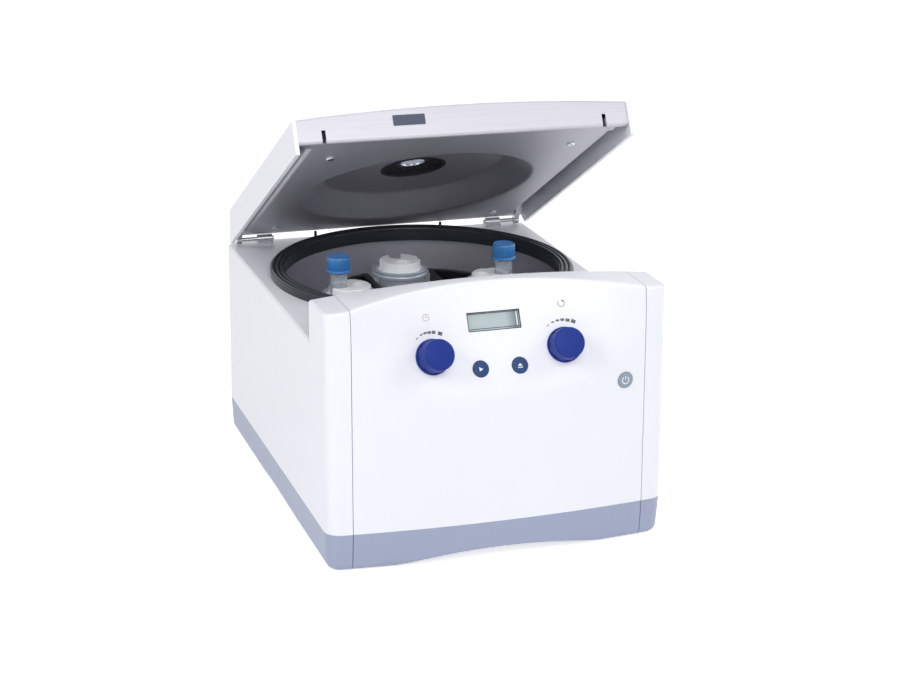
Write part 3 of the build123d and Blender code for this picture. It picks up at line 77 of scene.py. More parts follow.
lens = bpy.data.cameras.new("studio_camera")
lens.lens = LENS_MM
lens.sensor_width = 36.0
lens.clip_end = 50.0
camera = bpy.data.objects.new("studio_camera", lens)
bpy.context.scene.collection.objects.link(camera)
camera.matrix_world = look_matrix(AIM, TURN, HEIGHT, ROLL, DISTANCE)
bpy.context.scene.camera = camera
print("camera at", [round(c, 3) for c in camera.location])

# %% [markdown]
# ## Soft, even corners on the construction pieces
# The construction model arrives as loose triangles. Welding them and splitting only the sharp edges
# lets the round stretches shade smoothly while real corners stay crisp. Both steps are modifiers, so
# the measured shape itself is untouched.

# %% Smooth shading that keeps sharp edges
WELD = 0.002 * MM
SHARP = radians(24)


def shade_softly(obj, sharp=SHARP):
    """Weld the triangles, split edges sharper than the limit, and shade the rest smoothly."""
    flags = np.ones(len(obj.data.polygons), dtype=bool)
    obj.data.polygons.foreach_set("use_smooth", flags)
    weld = obj.modifiers.new("weld", "WELD")
    weld.merge_threshold = WELD
    split = obj.modifiers.new("crisp_edges", "EDGE_SPLIT")
    split.split_angle = sharp


for part in nodes.values():
    shade_softly(part)
print("softened", len(nodes), "pieces")

# %% [markdown]
# ## Shader building blocks
# Three effects come back on many pieces: the fine skin of moulded or sprayed parts, the long streaks of
# brushed sheet, and the rings of a turned part. Each is a node group, built once, that puts out a colour,
# a roughness and a normal. The shader itself stays in every material.

# %% Helpers for node groups
def new_group(name, inputs, outputs):
    """A shader group with named sockets: inputs are (name, kind, default), outputs are (name, kind)."""
    group = bpy.data.node_groups.new(name, "ShaderNodeTree")
    for label, kind, default in inputs:
        socket = group.interface.new_socket(name=label, in_out="INPUT", socket_type=kind)
        socket.default_value = default
    for label, kind in outputs:
        group.interface.new_socket(name=label, in_out="OUTPUT", socket_type=kind)
    return group, group.nodes.new("NodeGroupInput"), group.nodes.new("NodeGroupOutput")


def join(tree, source, target):
    """Link two sockets given as (node, socket name or index)."""
    tree.links.new(source[0].outputs[source[1]], target[0].inputs[target[1]])


COLOUR, NUMBER, VECTOR = "NodeSocketColor", "NodeSocketFloat", "NodeSocketVector"
FINISH_OUT = [("Colour", COLOUR), ("Roughness", NUMBER), ("Normal", VECTOR)]


def add_math(tree, operation, first, second):
    """A math node; each operand is a number or a (node, socket) pair."""
    node = tree.nodes.new("ShaderNodeMath")
    node.operation = operation
    for slot, operand in enumerate((first, second)):
        if isinstance(operand, tuple):
            join(tree, operand, (node, slot))
        else:
            node.inputs[slot].default_value = operand
    return node


def read_place(group):
    """The node that gives places in the object's own axes."""
    return group.nodes.new("ShaderNodeTexCoord")


def add_noise(group, where, scale, detail=2.0):
    """Noise at a place, with the scale as a number or a (node, socket) pair."""
    noise = group.nodes.new("ShaderNodeTexNoise")
    noise.inputs["Detail"].default_value = detail
    join(group, where, (noise, "Vector"))
    if isinstance(scale, tuple):
        join(group, scale, (noise, "Scale"))
    else:
        noise.inputs["Scale"].default_value = scale
    return noise


def add_bump(group, height, distance, strength=None):
    """A bump of a height; distance is its depth in metres, strength a (node, socket) pair."""
    bump = group.nodes.new("ShaderNodeBump")
    bump.inputs["Distance"].default_value = distance
    join(group, height, (bump, "Height"))
    if strength:
        join(group, strength, (bump, "Strength"))
    return bump


def vary(group, base, amount, by):
    """The base value plus amount times (noise - 0.5)."""
    centred = add_math(group, "SUBTRACT", by, 0.5)
    swing = add_math(group, "MULTIPLY", (centred, 0), amount)
    return add_math(group, "ADD", base, (swing, 0))


def put_out(group, outlet, tone, rough, bump):
    """Hand the three results of a finish to the group's outputs."""
    for made, label in ((tone, "Colour"), (rough, "Roughness"), (bump, "Normal")):
        join(group, (made, 0), (outlet, label))


def add_tint(tree, colour, amount, light, dark):
    """Mix the colour towards light or dark versions of itself: amount 0 is dark, 1 is light."""
    shade = tree.nodes.new("ShaderNodeMapRange")
    shade.inputs["To Min"].default_value = dark
    shade.inputs["To Max"].default_value = light
    join(tree, amount, (shade, "Value"))
    scale = tree.nodes.new("ShaderNodeVectorMath")
    scale.operation = "SCALE"
    join(tree, colour, (scale, 0))
    join(tree, (shade, "Result"), (scale, "Scale"))
    return scale


print("a finish puts out", [label for label, kind in FINISH_OUT])

# %% [markdown]
# Moulded plastic and sprayed sheet share a skin of tiny bumps, and their gloss is never quite even.
# Fine noise drives the bump, and a broad, slow noise moves the roughness and the tone a little.

# %% The skin of moulded and sprayed parts
def make_skin_group():
    """Fine bumps plus slow patches of gloss and tone, both from noise on object coordinates."""
    inputs = [("Colour", COLOUR, (0.8, 0.8, 0.8, 1)), ("Roughness", NUMBER, 0.4),
              ("Grain size", NUMBER, 900.0), ("Grain depth", NUMBER, 0.05), ("Unevenness", NUMBER, 0.06)]
    group, inlet, outlet = new_group("moulded_skin", inputs, FINISH_OUT)
    place = read_place(group)
    grain = add_noise(group, (place, "Object"), (inlet, "Grain size"))
    slow = add_noise(group, (place, "Object"), 9.0, detail=3.0)
    bump = add_bump(group, (grain, "Fac"), 0.0001, (inlet, "Grain depth"))
    rough = vary(group, (inlet, "Roughness"), (inlet, "Unevenness"), (slow, "Fac"))
    tone = add_tint(group, (inlet, "Colour"), (slow, "Fac"), 1.02, 0.98)
    put_out(group, outlet, tone, rough, bump)
    return group


SKIN = make_skin_group()
print("made the group", SKIN.name)

# %% [markdown]
# Brushed sheet is drawn over an abrasive belt, which leaves hair-thin scratches in one direction. Noise
# that is stretched hard along that direction looks the same: it changes fast across and slowly along.

# %% The streaks of brushed sheet
def make_brushed_group():
    """Noise stretched by the Stretch vector: large values across the brushing, a small one along it."""
    inputs = [("Colour", COLOUR, (0.5, 0.5, 0.5, 1)), ("Roughness", NUMBER, 0.35),
              ("Stretch", VECTOR, (20, 900, 900)), ("Scratch depth", NUMBER, 0.2), ("Contrast", NUMBER, 0.12)]
    group, inlet, outlet = new_group("brushed_sheet", inputs, FINISH_OUT)
    place = read_place(group)
    stretch = group.nodes.new("ShaderNodeVectorMath")
    stretch.operation = "MULTIPLY"
    join(group, (place, "Object"), (stretch, 0))
    join(group, (inlet, "Stretch"), (stretch, 1))
    streaks = add_noise(group, (stretch, 0), 1.0, detail=3.0)
    slow = add_noise(group, (place, "Object"), 6.0)
    bump = add_bump(group, (streaks, "Fac"), 0.00008, (inlet, "Scratch depth"))
    rough = vary(group, (inlet, "Roughness"), (inlet, "Contrast"), (streaks, "Fac"))
    patches = add_math(group, "MULTIPLY", (slow, "Fac"), 0.4)
    mixed = add_math(group, "ADD", (streaks, "Fac"), (patches, 0))
    tone = add_tint(group, (inlet, "Colour"), (mixed, 0), 1.10, 0.88)
    put_out(group, outlet, tone, rough, bump)
    return group


BRUSHED = make_brushed_group()
print("made the group", BRUSHED.name)

# %% [markdown]
# A spun bowl or a turned bucket carries fine rings about its own axis. The distance from that axis, plus
# the height, is fed to a one-dimensional noise, so the pattern changes only across the rings.

# %% The rings of spun and turned metal
def make_turned_group():
    """Noise of (distance from the axis + height): rings about a vertical axis through Centre."""
    inputs = [("Colour", COLOUR, (0.5, 0.5, 0.5, 1)), ("Roughness", NUMBER, 0.35),
              ("Centre", VECTOR, (0, 0, 0)), ("Rings per metre", NUMBER, 1500.0),
              ("Ring depth", NUMBER, 0.2), ("Contrast", NUMBER, 0.12)]
    group, inlet, outlet = new_group("turned_rings", inputs, FINISH_OUT)
    place = read_place(group)
    shift = group.nodes.new("ShaderNodeVectorMath")
    shift.operation = "SUBTRACT"
    join(group, (place, "Object"), (shift, 0))
    join(group, (inlet, "Centre"), (shift, 1))
    axes = group.nodes.new("ShaderNodeSeparateXYZ")
    join(group, (shift, 0), (axes, 0))
    x2 = add_math(group, "MULTIPLY", (axes, "X"), (axes, "X"))
    y2 = add_math(group, "MULTIPLY", (axes, "Y"), (axes, "Y"))
    r2 = add_math(group, "ADD", (x2, 0), (y2, 0))
    radius = add_math(group, "SQRT", (r2, 0), 0.0)
    along = add_math(group, "ADD", (radius, 0), (axes, "Z"))
    rings = group.nodes.new("ShaderNodeTexNoise")
    rings.noise_dimensions = "1D"
    rings.inputs["Detail"].default_value = 3.0
    join(group, (along, 0), (rings, "W"))
    join(group, (inlet, "Rings per metre"), (rings, "Scale"))
    bump = add_bump(group, (rings, "Fac"), 0.00008, (inlet, "Ring depth"))
    rough = vary(group, (inlet, "Roughness"), (inlet, "Contrast"), (rings, "Fac"))
    tone = add_tint(group, (inlet, "Colour"), (rings, "Fac"), 1.12, 0.88)
    put_out(group, outlet, tone, rough, bump)
    return group


TURNED = make_turned_group()
print("node groups:", [g.name for g in bpy.data.node_groups])

# %% [markdown]
# ## Materials
# Each material is one Principled shader fed by one of the groups. Values that are the same all over, such
# as metallic or coat, are set on the shader itself. Colours are written in linear light.

# %% A maker of materials
def finish(name, group, metallic=0.0, coat=0.0, coat_rough=0.05, specular=0.5, **values):
    """One Principled shader fed by a finish group, whose sockets are set from the keyword values."""
    made = bpy.data.materials.new(name)
    made.use_nodes = True
    tree = made.node_tree
    shader = tree.nodes["Principled BSDF"]
    shader.inputs["Metallic"].default_value = metallic
    shader.inputs["Coat Weight"].default_value = coat
    shader.inputs["Coat Roughness"].default_value = coat_rough
    shader.inputs["Specular IOR Level"].default_value = specular
    effect = tree.nodes.new("ShaderNodeGroup")
    effect.node_tree = group
    for label, value in values.items():
        socket = effect.inputs[label.replace("_", " ").capitalize()]
        socket.default_value = (*value, 1.0) if label == "colour" else value
    join(tree, (effect, "Colour"), (shader, "Base Color"))
    join(tree, (effect, "Roughness"), (shader, "Roughness"))
    join(tree, (effect, "Normal"), (shader, "Normal"))
    return made


def dress(material, *names):
    """Give a material to construction pieces, in every slot they have."""
    for name in names:
        slots = nodes[name].data.materials
        if len(slots) == 0:
            slots.append(material)
        for index in range(len(slots)):
            slots[index] = material


print("a skin takes", [item.name for item in SKIN.interface.items_tree if item.in_out == "INPUT"])

# %% [markdown]
# The plastics and the rubber come first. The housing is a cool white, the base a blue grey and the
# gasket a black that shines a little. The label's slate and the navy of the buttons reflect less than
# other plastics do, so that they stay dark under the lamps.

# %% Plastics and rubber
housing_white = finish("housing_white", SKIN, colour=(0.84, 0.85, 0.90), roughness=0.36, grain_depth=0.05)
base_grey = finish("base_grey", SKIN, colour=(0.33, 0.37, 0.50), roughness=0.42, grain_depth=0.12)
adapter_white = finish("adapter_white", SKIN, colour=(0.94, 0.95, 0.97), roughness=0.45, grain_depth=0.12)
rubber_black = finish("rubber_black", SKIN, colour=(0.016, 0.020, 0.028), roughness=0.30, grain_depth=0.2,
                      grain_size=1600.0)
foot_black = finish("foot_black", SKIN, colour=(0.03, 0.03, 0.032), roughness=0.8, grain_depth=0.3)
black_moulded = finish("black_moulded", SKIN, colour=(0.012, 0.012, 0.014), roughness=0.5, grain_depth=0.2)
label_slate = finish("label_slate", SKIN, colour=(0.075, 0.088, 0.13), roughness=0.5, specular=0.3,
                     grain_depth=0.1)
knob_blue = finish("knob_blue", SKIN, colour=(0.008, 0.028, 0.23), roughness=0.5, specular=0.22,
                   grain_depth=0.15)
button_navy = finish("button_navy", SKIN, colour=(0.016, 0.05, 0.16), roughness=0.42, specular=0.3,
                     grain_depth=0.06)
button_grey = finish("button_grey", SKIN, colour=(0.26, 0.31, 0.38), roughness=0.4, grain_depth=0.06)
cap_blue = finish("cap_blue", SKIN, colour=(0.04, 0.21, 0.54), roughness=0.36, coat=0.2, grain_depth=0.06)
board_green = finish("board_green", SKIN, colour=(0.012, 0.09, 0.04), roughness=0.45, coat=0.3)
print("plastics and rubber:", len(bpy.data.materials))

# %% [markdown]
# The metals differ in how they were worked. The bowl is spun, so it carries rings about the rotor's
# axis. Sheet is brushed, and small steel parts have a short grain without a direction. The rotor is
# anodised black, which hides the grain under a thin skin.

# %% Metals
ROTOR_AXIS = (0.0, 0.0435, 0.0)
bowl_steel = finish("bowl_steel", TURNED, metallic=1.0, colour=(0.64, 0.63, 0.69), roughness=0.45,
                    centre=ROTOR_AXIS, rings_per_metre=900.0, ring_depth=0.25)
pan_steel = finish("pan_steel", BRUSHED, metallic=1.0, roughness=0.54,
                   stretch=(14.0, 700.0, 700.0), scratch_depth=0.22, contrast=0.10)
bright_steel = finish("bright_steel", BRUSHED, metallic=1.0, colour=(0.62, 0.63, 0.66), roughness=0.22,
                      stretch=(300.0, 300.0, 300.0), scratch_depth=0.1)
supply_steel = finish("supply_steel", BRUSHED, metallic=1.0, colour=(0.5, 0.51, 0.53), roughness=0.38)
iron_dark = finish("iron_dark", BRUSHED, metallic=0.9, colour=(0.16, 0.15, 0.15), roughness=0.5)
prong_brass = finish("prong_brass", BRUSHED, metallic=1.0, colour=(0.62, 0.45, 0.18), roughness=0.3)
black_anodised = finish("black_anodised", SKIN, metallic=0.4, colour=(0.012, 0.012, 0.014), roughness=0.38,
                        grain_depth=0.15)
motor_grey = finish("motor_grey", SKIN, colour=(0.09, 0.095, 0.11), roughness=0.45, grain_depth=0.2)
print("with the metals:", len(bpy.data.materials))

# %% [markdown]
# The steel sheet under the lid is bent up at its front edge. That lip faces the light, so it is painted
# lighter as a painted highlight, and the flat of the sheet is painted darker as painted shade: lit and shaded
# tones of one steel. A plane across the lid tells the two apart: what lies beyond it, towards the front,
# takes the second colour.

# %% Painted highlight and shade on one sheet
LID_OPEN = radians(29.4)
LIP_DEEP = 6.0 * MM
LID_OUT = (0.0, -cos(LID_OPEN), sin(LID_OPEN))


def make_lip_light_group():
    """Second colour where the point's distance along Direction is beyond Start, first colour elsewhere."""
    inputs = [("First", COLOUR, (0.3, 0.3, 0.3, 1)), ("Second", COLOUR, (0.6, 0.6, 0.6, 1)),
              ("Direction", VECTOR, (0, -1, 0)), ("Start", NUMBER, 0.0), ("Softness", NUMBER, 0.001)]
    group, inlet, outlet = new_group("painted_lip_light", inputs, [("Colour", COLOUR)])
    place = read_place(group)
    along = group.nodes.new("ShaderNodeVectorMath")
    along.operation = "DOT_PRODUCT"
    join(group, (place, "Object"), (along, 0))
    join(group, (inlet, "Direction"), (along, 1))
    past = add_math(group, "SUBTRACT", (along, "Value"), (inlet, "Start"))
    share = add_math(group, "DIVIDE", (past, 0), (inlet, "Softness"))
    share.use_clamp = True
    mix = group.nodes.new("ShaderNodeMix")
    mix.data_type = "RGBA"
    join(group, (share, 0), (mix, "Factor"))
    group.links.new(inlet.outputs["First"], mix.inputs[6])
    group.links.new(inlet.outputs["Second"], mix.inputs[7])
    group.links.new(mix.outputs[2], outlet.inputs["Colour"])
    return group


LIP_LIGHT = make_lip_light_group()
plate_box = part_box("lid_plate")
LIP_START = Vector(LID_OUT).dot(Vector((0.0, plate_box[0][1], plate_box[1][2]))) - LIP_DEEP
tree = pan_steel.node_tree
lip_light_node = tree.nodes.new("ShaderNodeGroup")
lip_light_node.node_tree = LIP_LIGHT
# Painted shade: the flat of the sheet in a darker tone of the steel.
lip_light_node.inputs["First"].default_value = (0.44, 0.435, 0.475, 1.0)
# Painted highlight: the lip, which faces the light, in a lighter tone of the same steel.
lip_light_node.inputs["Second"].default_value = (0.74, 0.73, 0.79, 1.0)
lip_light_node.inputs["Direction"].default_value = LID_OUT
lip_light_node.inputs["Start"].default_value = LIP_START
effect = next(node for node in tree.nodes if node.type == "GROUP" and node.node_tree == BRUSHED)
join(tree, (lip_light_node, "Colour"), (effect, "Colour"))
print("lip starts", round(LIP_START, 4), "m along the lid's direction")

# %% [markdown]
# ## Dressing the construction
# Each construction piece takes one finish. Each bucket was turned about its own axis, so each has a zinc
# of its own, with the rings centred on that bucket.

# %% Give the finishes to the construction pieces
dress(housing_white, "housing_shell", "front_panel", "lid_shell")
dress(base_grey, "base_tray", "base_front_trim")
dress(foot_black, "rubber_feet", "motor_dampers", "shaft_boot")
dress(rubber_black, "chamber_gasket")
dress(bowl_steel, "chamber_bowl")
dress(pan_steel, "lid_plate")
dress(bright_steel, "lid_screws", "port_ring", "trunnion_pins", "rotor_nut", "hinge_brackets", "hinge_pins",
      "latch_bar", "motor_shaft", "motor_bearings", "time_knob_spindle", "speed_knob_spindle")
dress(black_anodised, "rotor_cross", "lid_stop_pins")
dress(label_slate, "lip_label")
dress(black_moulded, "port_cup", "display_frame", "power_switch", "mains_inlet", "fuse_drawer")
dress(knob_blue, "time_knob", "speed_knob")
dress(button_navy, "short_run_button", "lid_release_button")
dress(button_grey, "power_button")
dress(cap_blue, "cap_left", "cap_right")
dress(motor_grey, "motor_can", "knob_encoders", "latch_solenoids")
dress(iron_dark, "motor_stator", "motor_armature")
dress(supply_steel, "motor_mount", "power_supply", "lid_hinge_arms")
dress(board_green, "control_board", "drive_board")
dress(prong_brass, "inlet_prongs")

SWING_R = 0.073
PLACES = {"right": (1, 0), "rear": (0, 1), "left": (-1, 0), "front": (0, -1)}
for place, (across, back) in PLACES.items():
    axis = (SWING_R * across, ROTOR_AXIS[1] + SWING_R * back, 0.0)
    zinc = finish("bucket_zinc_" + place, TURNED, metallic=0.6, colour=(0.74, 0.80, 0.88), roughness=0.28,
                  centre=axis, rings_per_metre=2200.0, ring_depth=0.25)
    dress(zinc, "bucket_" + place)
    dress(adapter_white, "adapter_" + place)
print("buckets and adapters dressed:", list(PLACES))

# %% [markdown]
# ## Glass and clear plastic
# See-through parts keep a plain transmission. The small window in the lid is glass tinted grey, as painted
# shade of the dark seen through it. The tubes are moulded polypropylene, which is a little cloudy: they are
# rougher, and a fifth of the light is scattered.

# %% Clear materials
def clear(name, group, ior, transmission=1.0, **values):
    """A finish whose shader lets light through."""
    made = finish(name, group, **values)
    shader = made.node_tree.nodes["Principled BSDF"]
    shader.inputs["Transmission Weight"].default_value = transmission
    shader.inputs["IOR"].default_value = ior
    return made


# The grey tint of the window glass is painted shade.
window_glass = clear("window_glass", SKIN, 1.5, colour=(0.40, 0.42, 0.48), roughness=0.05, grain_depth=0.02,
                     unevenness=0.02)
tube_plastic = clear("tube_plastic", SKIN, 1.45, transmission=0.8, colour=(0.90, 0.95, 1.0), roughness=0.14,
                     grain_depth=0.1)
dress(window_glass, "port_glass")
dress(tube_plastic, "tube_left", "tube_right")
print("clear:", window_glass.name, tube_plastic.name)

# %% [markdown]
# ## The liquid crystal window
# The glass of the display is grey-green. Light falls on it from the left, so its tone sinks near the
# right end, and a faint grid of dots shows where the figures appear when it is switched on.

# %% The face of the display
LEVEL_SHARE = 0.74
LINE_SHARE = 0.16


def make_lcd_group(left, right):
    """Colour that is level for three quarters of the width in X and then falls, times a grid of lines."""
    inputs = [("Bright", COLOUR, (0.42, 0.50, 0.51, 1)), ("Dim", COLOUR, (0.10, 0.16, 0.17, 1)),
              ("Roughness", NUMBER, 0.25), ("Pitch", NUMBER, 0.0007)]
    group, inlet, outlet = new_group("lcd_face", inputs, FINISH_OUT)
    place = read_place(group)
    axes = group.nodes.new("ShaderNodeSeparateXYZ")
    join(group, (place, "Object"), (axes, 0))
    fall = group.nodes.new("ShaderNodeMapRange")
    fall.inputs["From Min"].default_value = left + LEVEL_SHARE * (right - left)
    fall.inputs["From Max"].default_value = right
    join(group, (axes, "X"), (fall, "Value"))
    mix = group.nodes.new("ShaderNodeMix")
    mix.data_type = "RGBA"
    join(group, (fall, "Result"), (mix, "Factor"))
    group.links.new(inlet.outputs["Bright"], mix.inputs[6])
    group.links.new(inlet.outputs["Dim"], mix.inputs[7])
    lines = []
    for axis in ("X", "Z"):
        cells = add_math(group, "DIVIDE", (axes, axis), (inlet, "Pitch"))
        inside = add_math(group, "FRACT", (cells, 0), 0.0)
        lines.append(add_math(group, "GREATER_THAN", (inside, 0), LINE_SHARE))
    dots = add_math(group, "MULTIPLY", (lines[0], 0), (lines[1], 0))
    tone = group.nodes.new("ShaderNodeVectorMath")
    tone.operation = "SCALE"
    shade = group.nodes.new("ShaderNodeMapRange")
    shade.inputs["To Min"].default_value = 1.05
    shade.inputs["To Max"].default_value = 0.98
    join(group, (dots, 0), (shade, "Value"))
    group.links.new(mix.outputs[2], tone.inputs[0])
    join(group, (shade, "Result"), (tone, "Scale"))
    bump = add_bump(group, (dots, 0), 0.00001)
    rough = add_math(group, "MULTIPLY", (inlet, "Roughness"), (shade, "Result"))
    put_out(group, outlet, tone, rough, bump)
    return group


lcd_low, lcd_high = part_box("display_frame")
LCD = make_lcd_group(lcd_low[0], lcd_high[0])
lcd_face = finish("lcd_face", LCD, coat=0.6, coat_rough=0.08)
dress(lcd_face, "lcd_module")
print("display", round((lcd_high[0] - lcd_low[0]) / MM, 1), "mm wide")

# %% [markdown]
# ## Making a mesh from arrays
# Every new piece below is a grid of points worked out as one array, and the faces are worked out from
# the grid's own row and column numbers.

# %% Grids to meshes
def grid_faces(rows, columns, wrap_rows=False, wrap_columns=False):
    """Quads of a grid: point (i, j) joins (i, j+1), (i+1, j+1) and (i+1, j), wrapping round if asked."""
    i, j = np.meshgrid(np.arange(rows if wrap_rows else rows - 1),
                       np.arange(columns if wrap_columns else columns - 1), indexing="ij")
    up, over = (i + 1) % rows, (j + 1) % columns
    quads = [i * columns + j, i * columns + over, up * columns + over, up * columns + j]
    return np.stack(quads, axis=-1).reshape(-1, 4)


def add_piece(name, points, faces, material, body, smooth=True):
    """A mesh object from an array of points and faces, riding on a body and using a material slot."""
    mesh = bpy.data.meshes.new(name)
    mesh.from_pydata(np.asarray(points).reshape(-1, 3).tolist(), [], [list(f) for f in faces])
    mesh.polygons.foreach_set("use_smooth", np.full(len(mesh.polygons), smooth))
    mesh.materials.append(material)
    mesh.validate()
    obj = bpy.data.objects.new(name, mesh)
    bpy.context.scene.collection.objects.link(obj)
    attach(obj, body)
    return obj


print("a 3 x 3 grid has", len(grid_faces(3, 3)), "faces")

# %% [markdown]
# ## Tube caps with fine ribs
# The construction caps are plain. A real screw cap has dozens of shallow ribs. The cap below is turned
# from a profile, and its radius swells by a small wave where the profile says that ribs run.

# %% Ribbed screw caps
CAP_RIBS = 40
RIB_DEPTH = 0.32 * MM
POINTS_PER_RIB = 10
FLARE = 0.9 * MM              # how far the cap's foot stands out
THREAD_ROOM = 0.05 * MM       # between the cap's bore and the tube
CAP_SHARP = radians(40)


def ribbed_cap(centre, low, high, radius, bore):
    """Closed turned surface. Radius = profile radius + rib depth x (0.5 + 0.5 cos(ribs x angle)) ** 1.5
    where ribs run; height = profile height. The profile goes from the middle of the top, down the
    outside, round the foot, and up the bore to the middle of the inside."""
    tall = high - low
    skirt, crown = 2.2 * MM, 1.6 * MM
    profile = np.array([
        (0.0, high - 0.55 * MM, 0), (0.80 * radius, high - 0.55 * MM, 0), (0.84 * radius, high - 0.1 * MM, 0),
        (0.88 * radius, high, 0), (0.93 * radius, high - 0.15 * MM, 0), (0.965 * radius, high - 0.6 * MM, 0),
        (0.975 * radius, high - crown, 0), (0.975 * radius, high - crown - 0.4 * MM, 1),
        (0.975 * radius, low + 0.5 * tall, 1), (0.975 * radius, low + skirt + 0.5 * MM, 1),
        (0.975 * radius, low + skirt, 0), (radius + 0.75 * MM, low + 0.62 * skirt, 0),
        (radius + FLARE, low + 0.5 * skirt, 0), (radius + FLARE, low + 0.2 * MM, 0),
        (radius + 0.7 * MM, low, 0), (bore + 0.2 * MM, low, 0), (bore, low + 0.2 * MM, 0),
        (bore, high - 2.0 * MM, 0), (0.0, high - 2.0 * MM, 0)])
    angle = np.linspace(0, 2 * pi, CAP_RIBS * POINTS_PER_RIB, endpoint=False)
    wave = RIB_DEPTH * (0.5 + 0.5 * np.cos(CAP_RIBS * angle)) ** 1.5
    reach = profile[:, 0:1] + profile[:, 2:3] * wave[None, :]
    ones = np.ones_like(angle)[None, :]
    grid = np.stack([centre[0] + reach * np.cos(angle), centre[1] + reach * np.sin(angle),
                     profile[:, 1:2] * ones], axis=-1)
    faces = grid_faces(len(profile), len(angle), wrap_columns=True)[:, ::-1]
    return grid, faces


for place, across in (("left", -1), ("right", 1)):
    cap_low, cap_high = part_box("cap_" + place)
    middle = [(a + b) / 2 for a, b in zip(cap_low, cap_high)]
    radius = (cap_high[0] - cap_low[0]) / 2 - FLARE
    tube_low, tube_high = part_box("tube_" + place)
    bore = (tube_high[0] - tube_low[0]) / 2 + THREAD_ROOM
    grid, faces = ribbed_cap(middle, cap_low[2], cap_high[2], radius, bore)
    cap = add_piece("ribbed_cap_" + place, grid, faces, cap_blue, f"bucket_{place}_swings")
    weld = cap.modifiers.new("close_poles", "WELD")
    weld.merge_threshold = WELD
    split = cap.modifiers.new("crisp_edges", "EDGE_SPLIT")
    split.split_angle = CAP_SHARP
    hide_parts("cap_" + place)
    print(cap.name, len(faces), "faces")

# %% [markdown]
# ## Printed marks
# Marks are thin films of ink. Each is worked out flat, in millimetres about its own middle, and laid on
# the surface it belongs to: a ray is sent along a direction, and the place and slope where it lands give
# the plane of the film.

# %% Landing a film on a surface
INK = 0.04 * MM


class Landing:
    """The outside of a construction piece, for laying films of ink on it."""

    def __init__(self, node):
        mesh = nodes[node].data
        points = np.empty(len(mesh.vertices) * 3)
        mesh.vertices.foreach_get("co", points)
        faces = [tuple(face.vertices) for face in mesh.polygons]
        self.tree = BVHTree.FromPolygons(points.reshape(-1, 3).tolist(), faces)

    def plane(self, start, direction):
        """Origin, level axis, upward axis and outward normal where a ray from start lands."""
        spot, normal, _, _ = self.tree.ray_cast(Vector(start), Vector(direction))
        if normal.dot(Vector(direction)) > 0:
            normal = -normal
        level = Vector((0, 0, 1)).cross(normal).normalized()
        return np.array(spot), np.array(level), np.array(normal.cross(level)), np.array(normal)


def lay(flat, plane, lift=INK):
    """Points (u, v) in millimetres become origin + u level + v up + lift normal."""
    origin, level, up, normal = plane
    flat = np.asarray(flat, dtype=float) * MM
    return origin + flat[..., 0:1] * level + flat[..., 1:2] * up + lift * normal


def bar(width, height, tilt=0.0, centre=(0.0, 0.0)):
    """A rectangle of points (2 x 2 grid), turned by tilt degrees about its middle and then moved."""
    u, v = np.meshgrid(np.array([-0.5, 0.5]) * width, np.array([-0.5, 0.5]) * height)
    c, s = cos(radians(tilt)), sin(radians(tilt))
    return np.stack([u * c - v * s + centre[0], u * s + v * c + centre[1]], -1)


def arc_band(radius, width, start, end, steps=40, centre=(0.0, 0.0)):
    """A band between two radii, from the start angle to the end angle in degrees."""
    angle = np.radians(np.linspace(start, end, steps))[None, :]
    reach = np.array([radius - width / 2, radius + width / 2])[:, None]
    return np.stack([centre[0] + reach * np.cos(angle), centre[1] + reach * np.sin(angle)], -1)


def wedge(points):
    """A triangle as a 2 x 2 grid whose far edge has shrunk to a point."""
    a, b, c = points
    return np.array([[a, b], [c, c]], dtype=float)


def film(name, shapes, plane, material, body):
    """Several flat shapes laid on one plane as a single piece of ink, facing outwards."""
    points, faces, start = [], [], 0
    for shape in shapes:
        rows, columns = shape.shape[:2]
        points.append(lay(shape, plane).reshape(-1, 3))
        faces.append(grid_faces(rows, columns) + start)
        start += rows * columns
    points, faces = np.concatenate(points), np.concatenate(faces)
    normal = plane[3]
    first = points[faces[:, 1]] - points[faces[:, 0]]
    second = points[faces[:, 2]] - points[faces[:, 0]]
    wrong = (np.cross(first, second) @ normal) < 0
    faces[wrong] = faces[wrong][:, ::-1]
    return add_piece(name, points, faces, material, body, smooth=False)


print("ink lies", round(INK / MM, 3), "mm above its surface")

# %% [markdown]
# Four inks cover every mark. The front panel is landed on often, so it is read once, and a small helper
# gives the plane of the panel behind any point that is measured in millimetres.

# %% Inks and the plane of the panel
ink_grey = finish("ink_grey", SKIN, colour=(0.10, 0.11, 0.13), roughness=0.45)
# The black ink also serves as painted shade: the top band of the display and the latch pockets.
black_ink_and_shade = finish("black_ink_and_shade", SKIN, colour=(0.012, 0.014, 0.018), roughness=0.4)
ink_pale = finish("ink_pale", SKIN, colour=(0.38, 0.39, 0.42), roughness=0.45)
ink_white = finish("ink_white", SKIN, colour=(0.78, 0.85, 0.92), roughness=0.4)
PANEL = Landing("front_panel")
AHEAD = (0.0, 1.0, 0.0)
AWAY = -0.4


def panel_plane(x, z):
    """The plane of the front panel behind the point (x, z), given in millimetres."""
    return PANEL.plane((x * MM, AWAY, z * MM), AHEAD)


print("panel leans", round(float(panel_plane(0, 100)[3][2]), 3), "upwards at its middle")
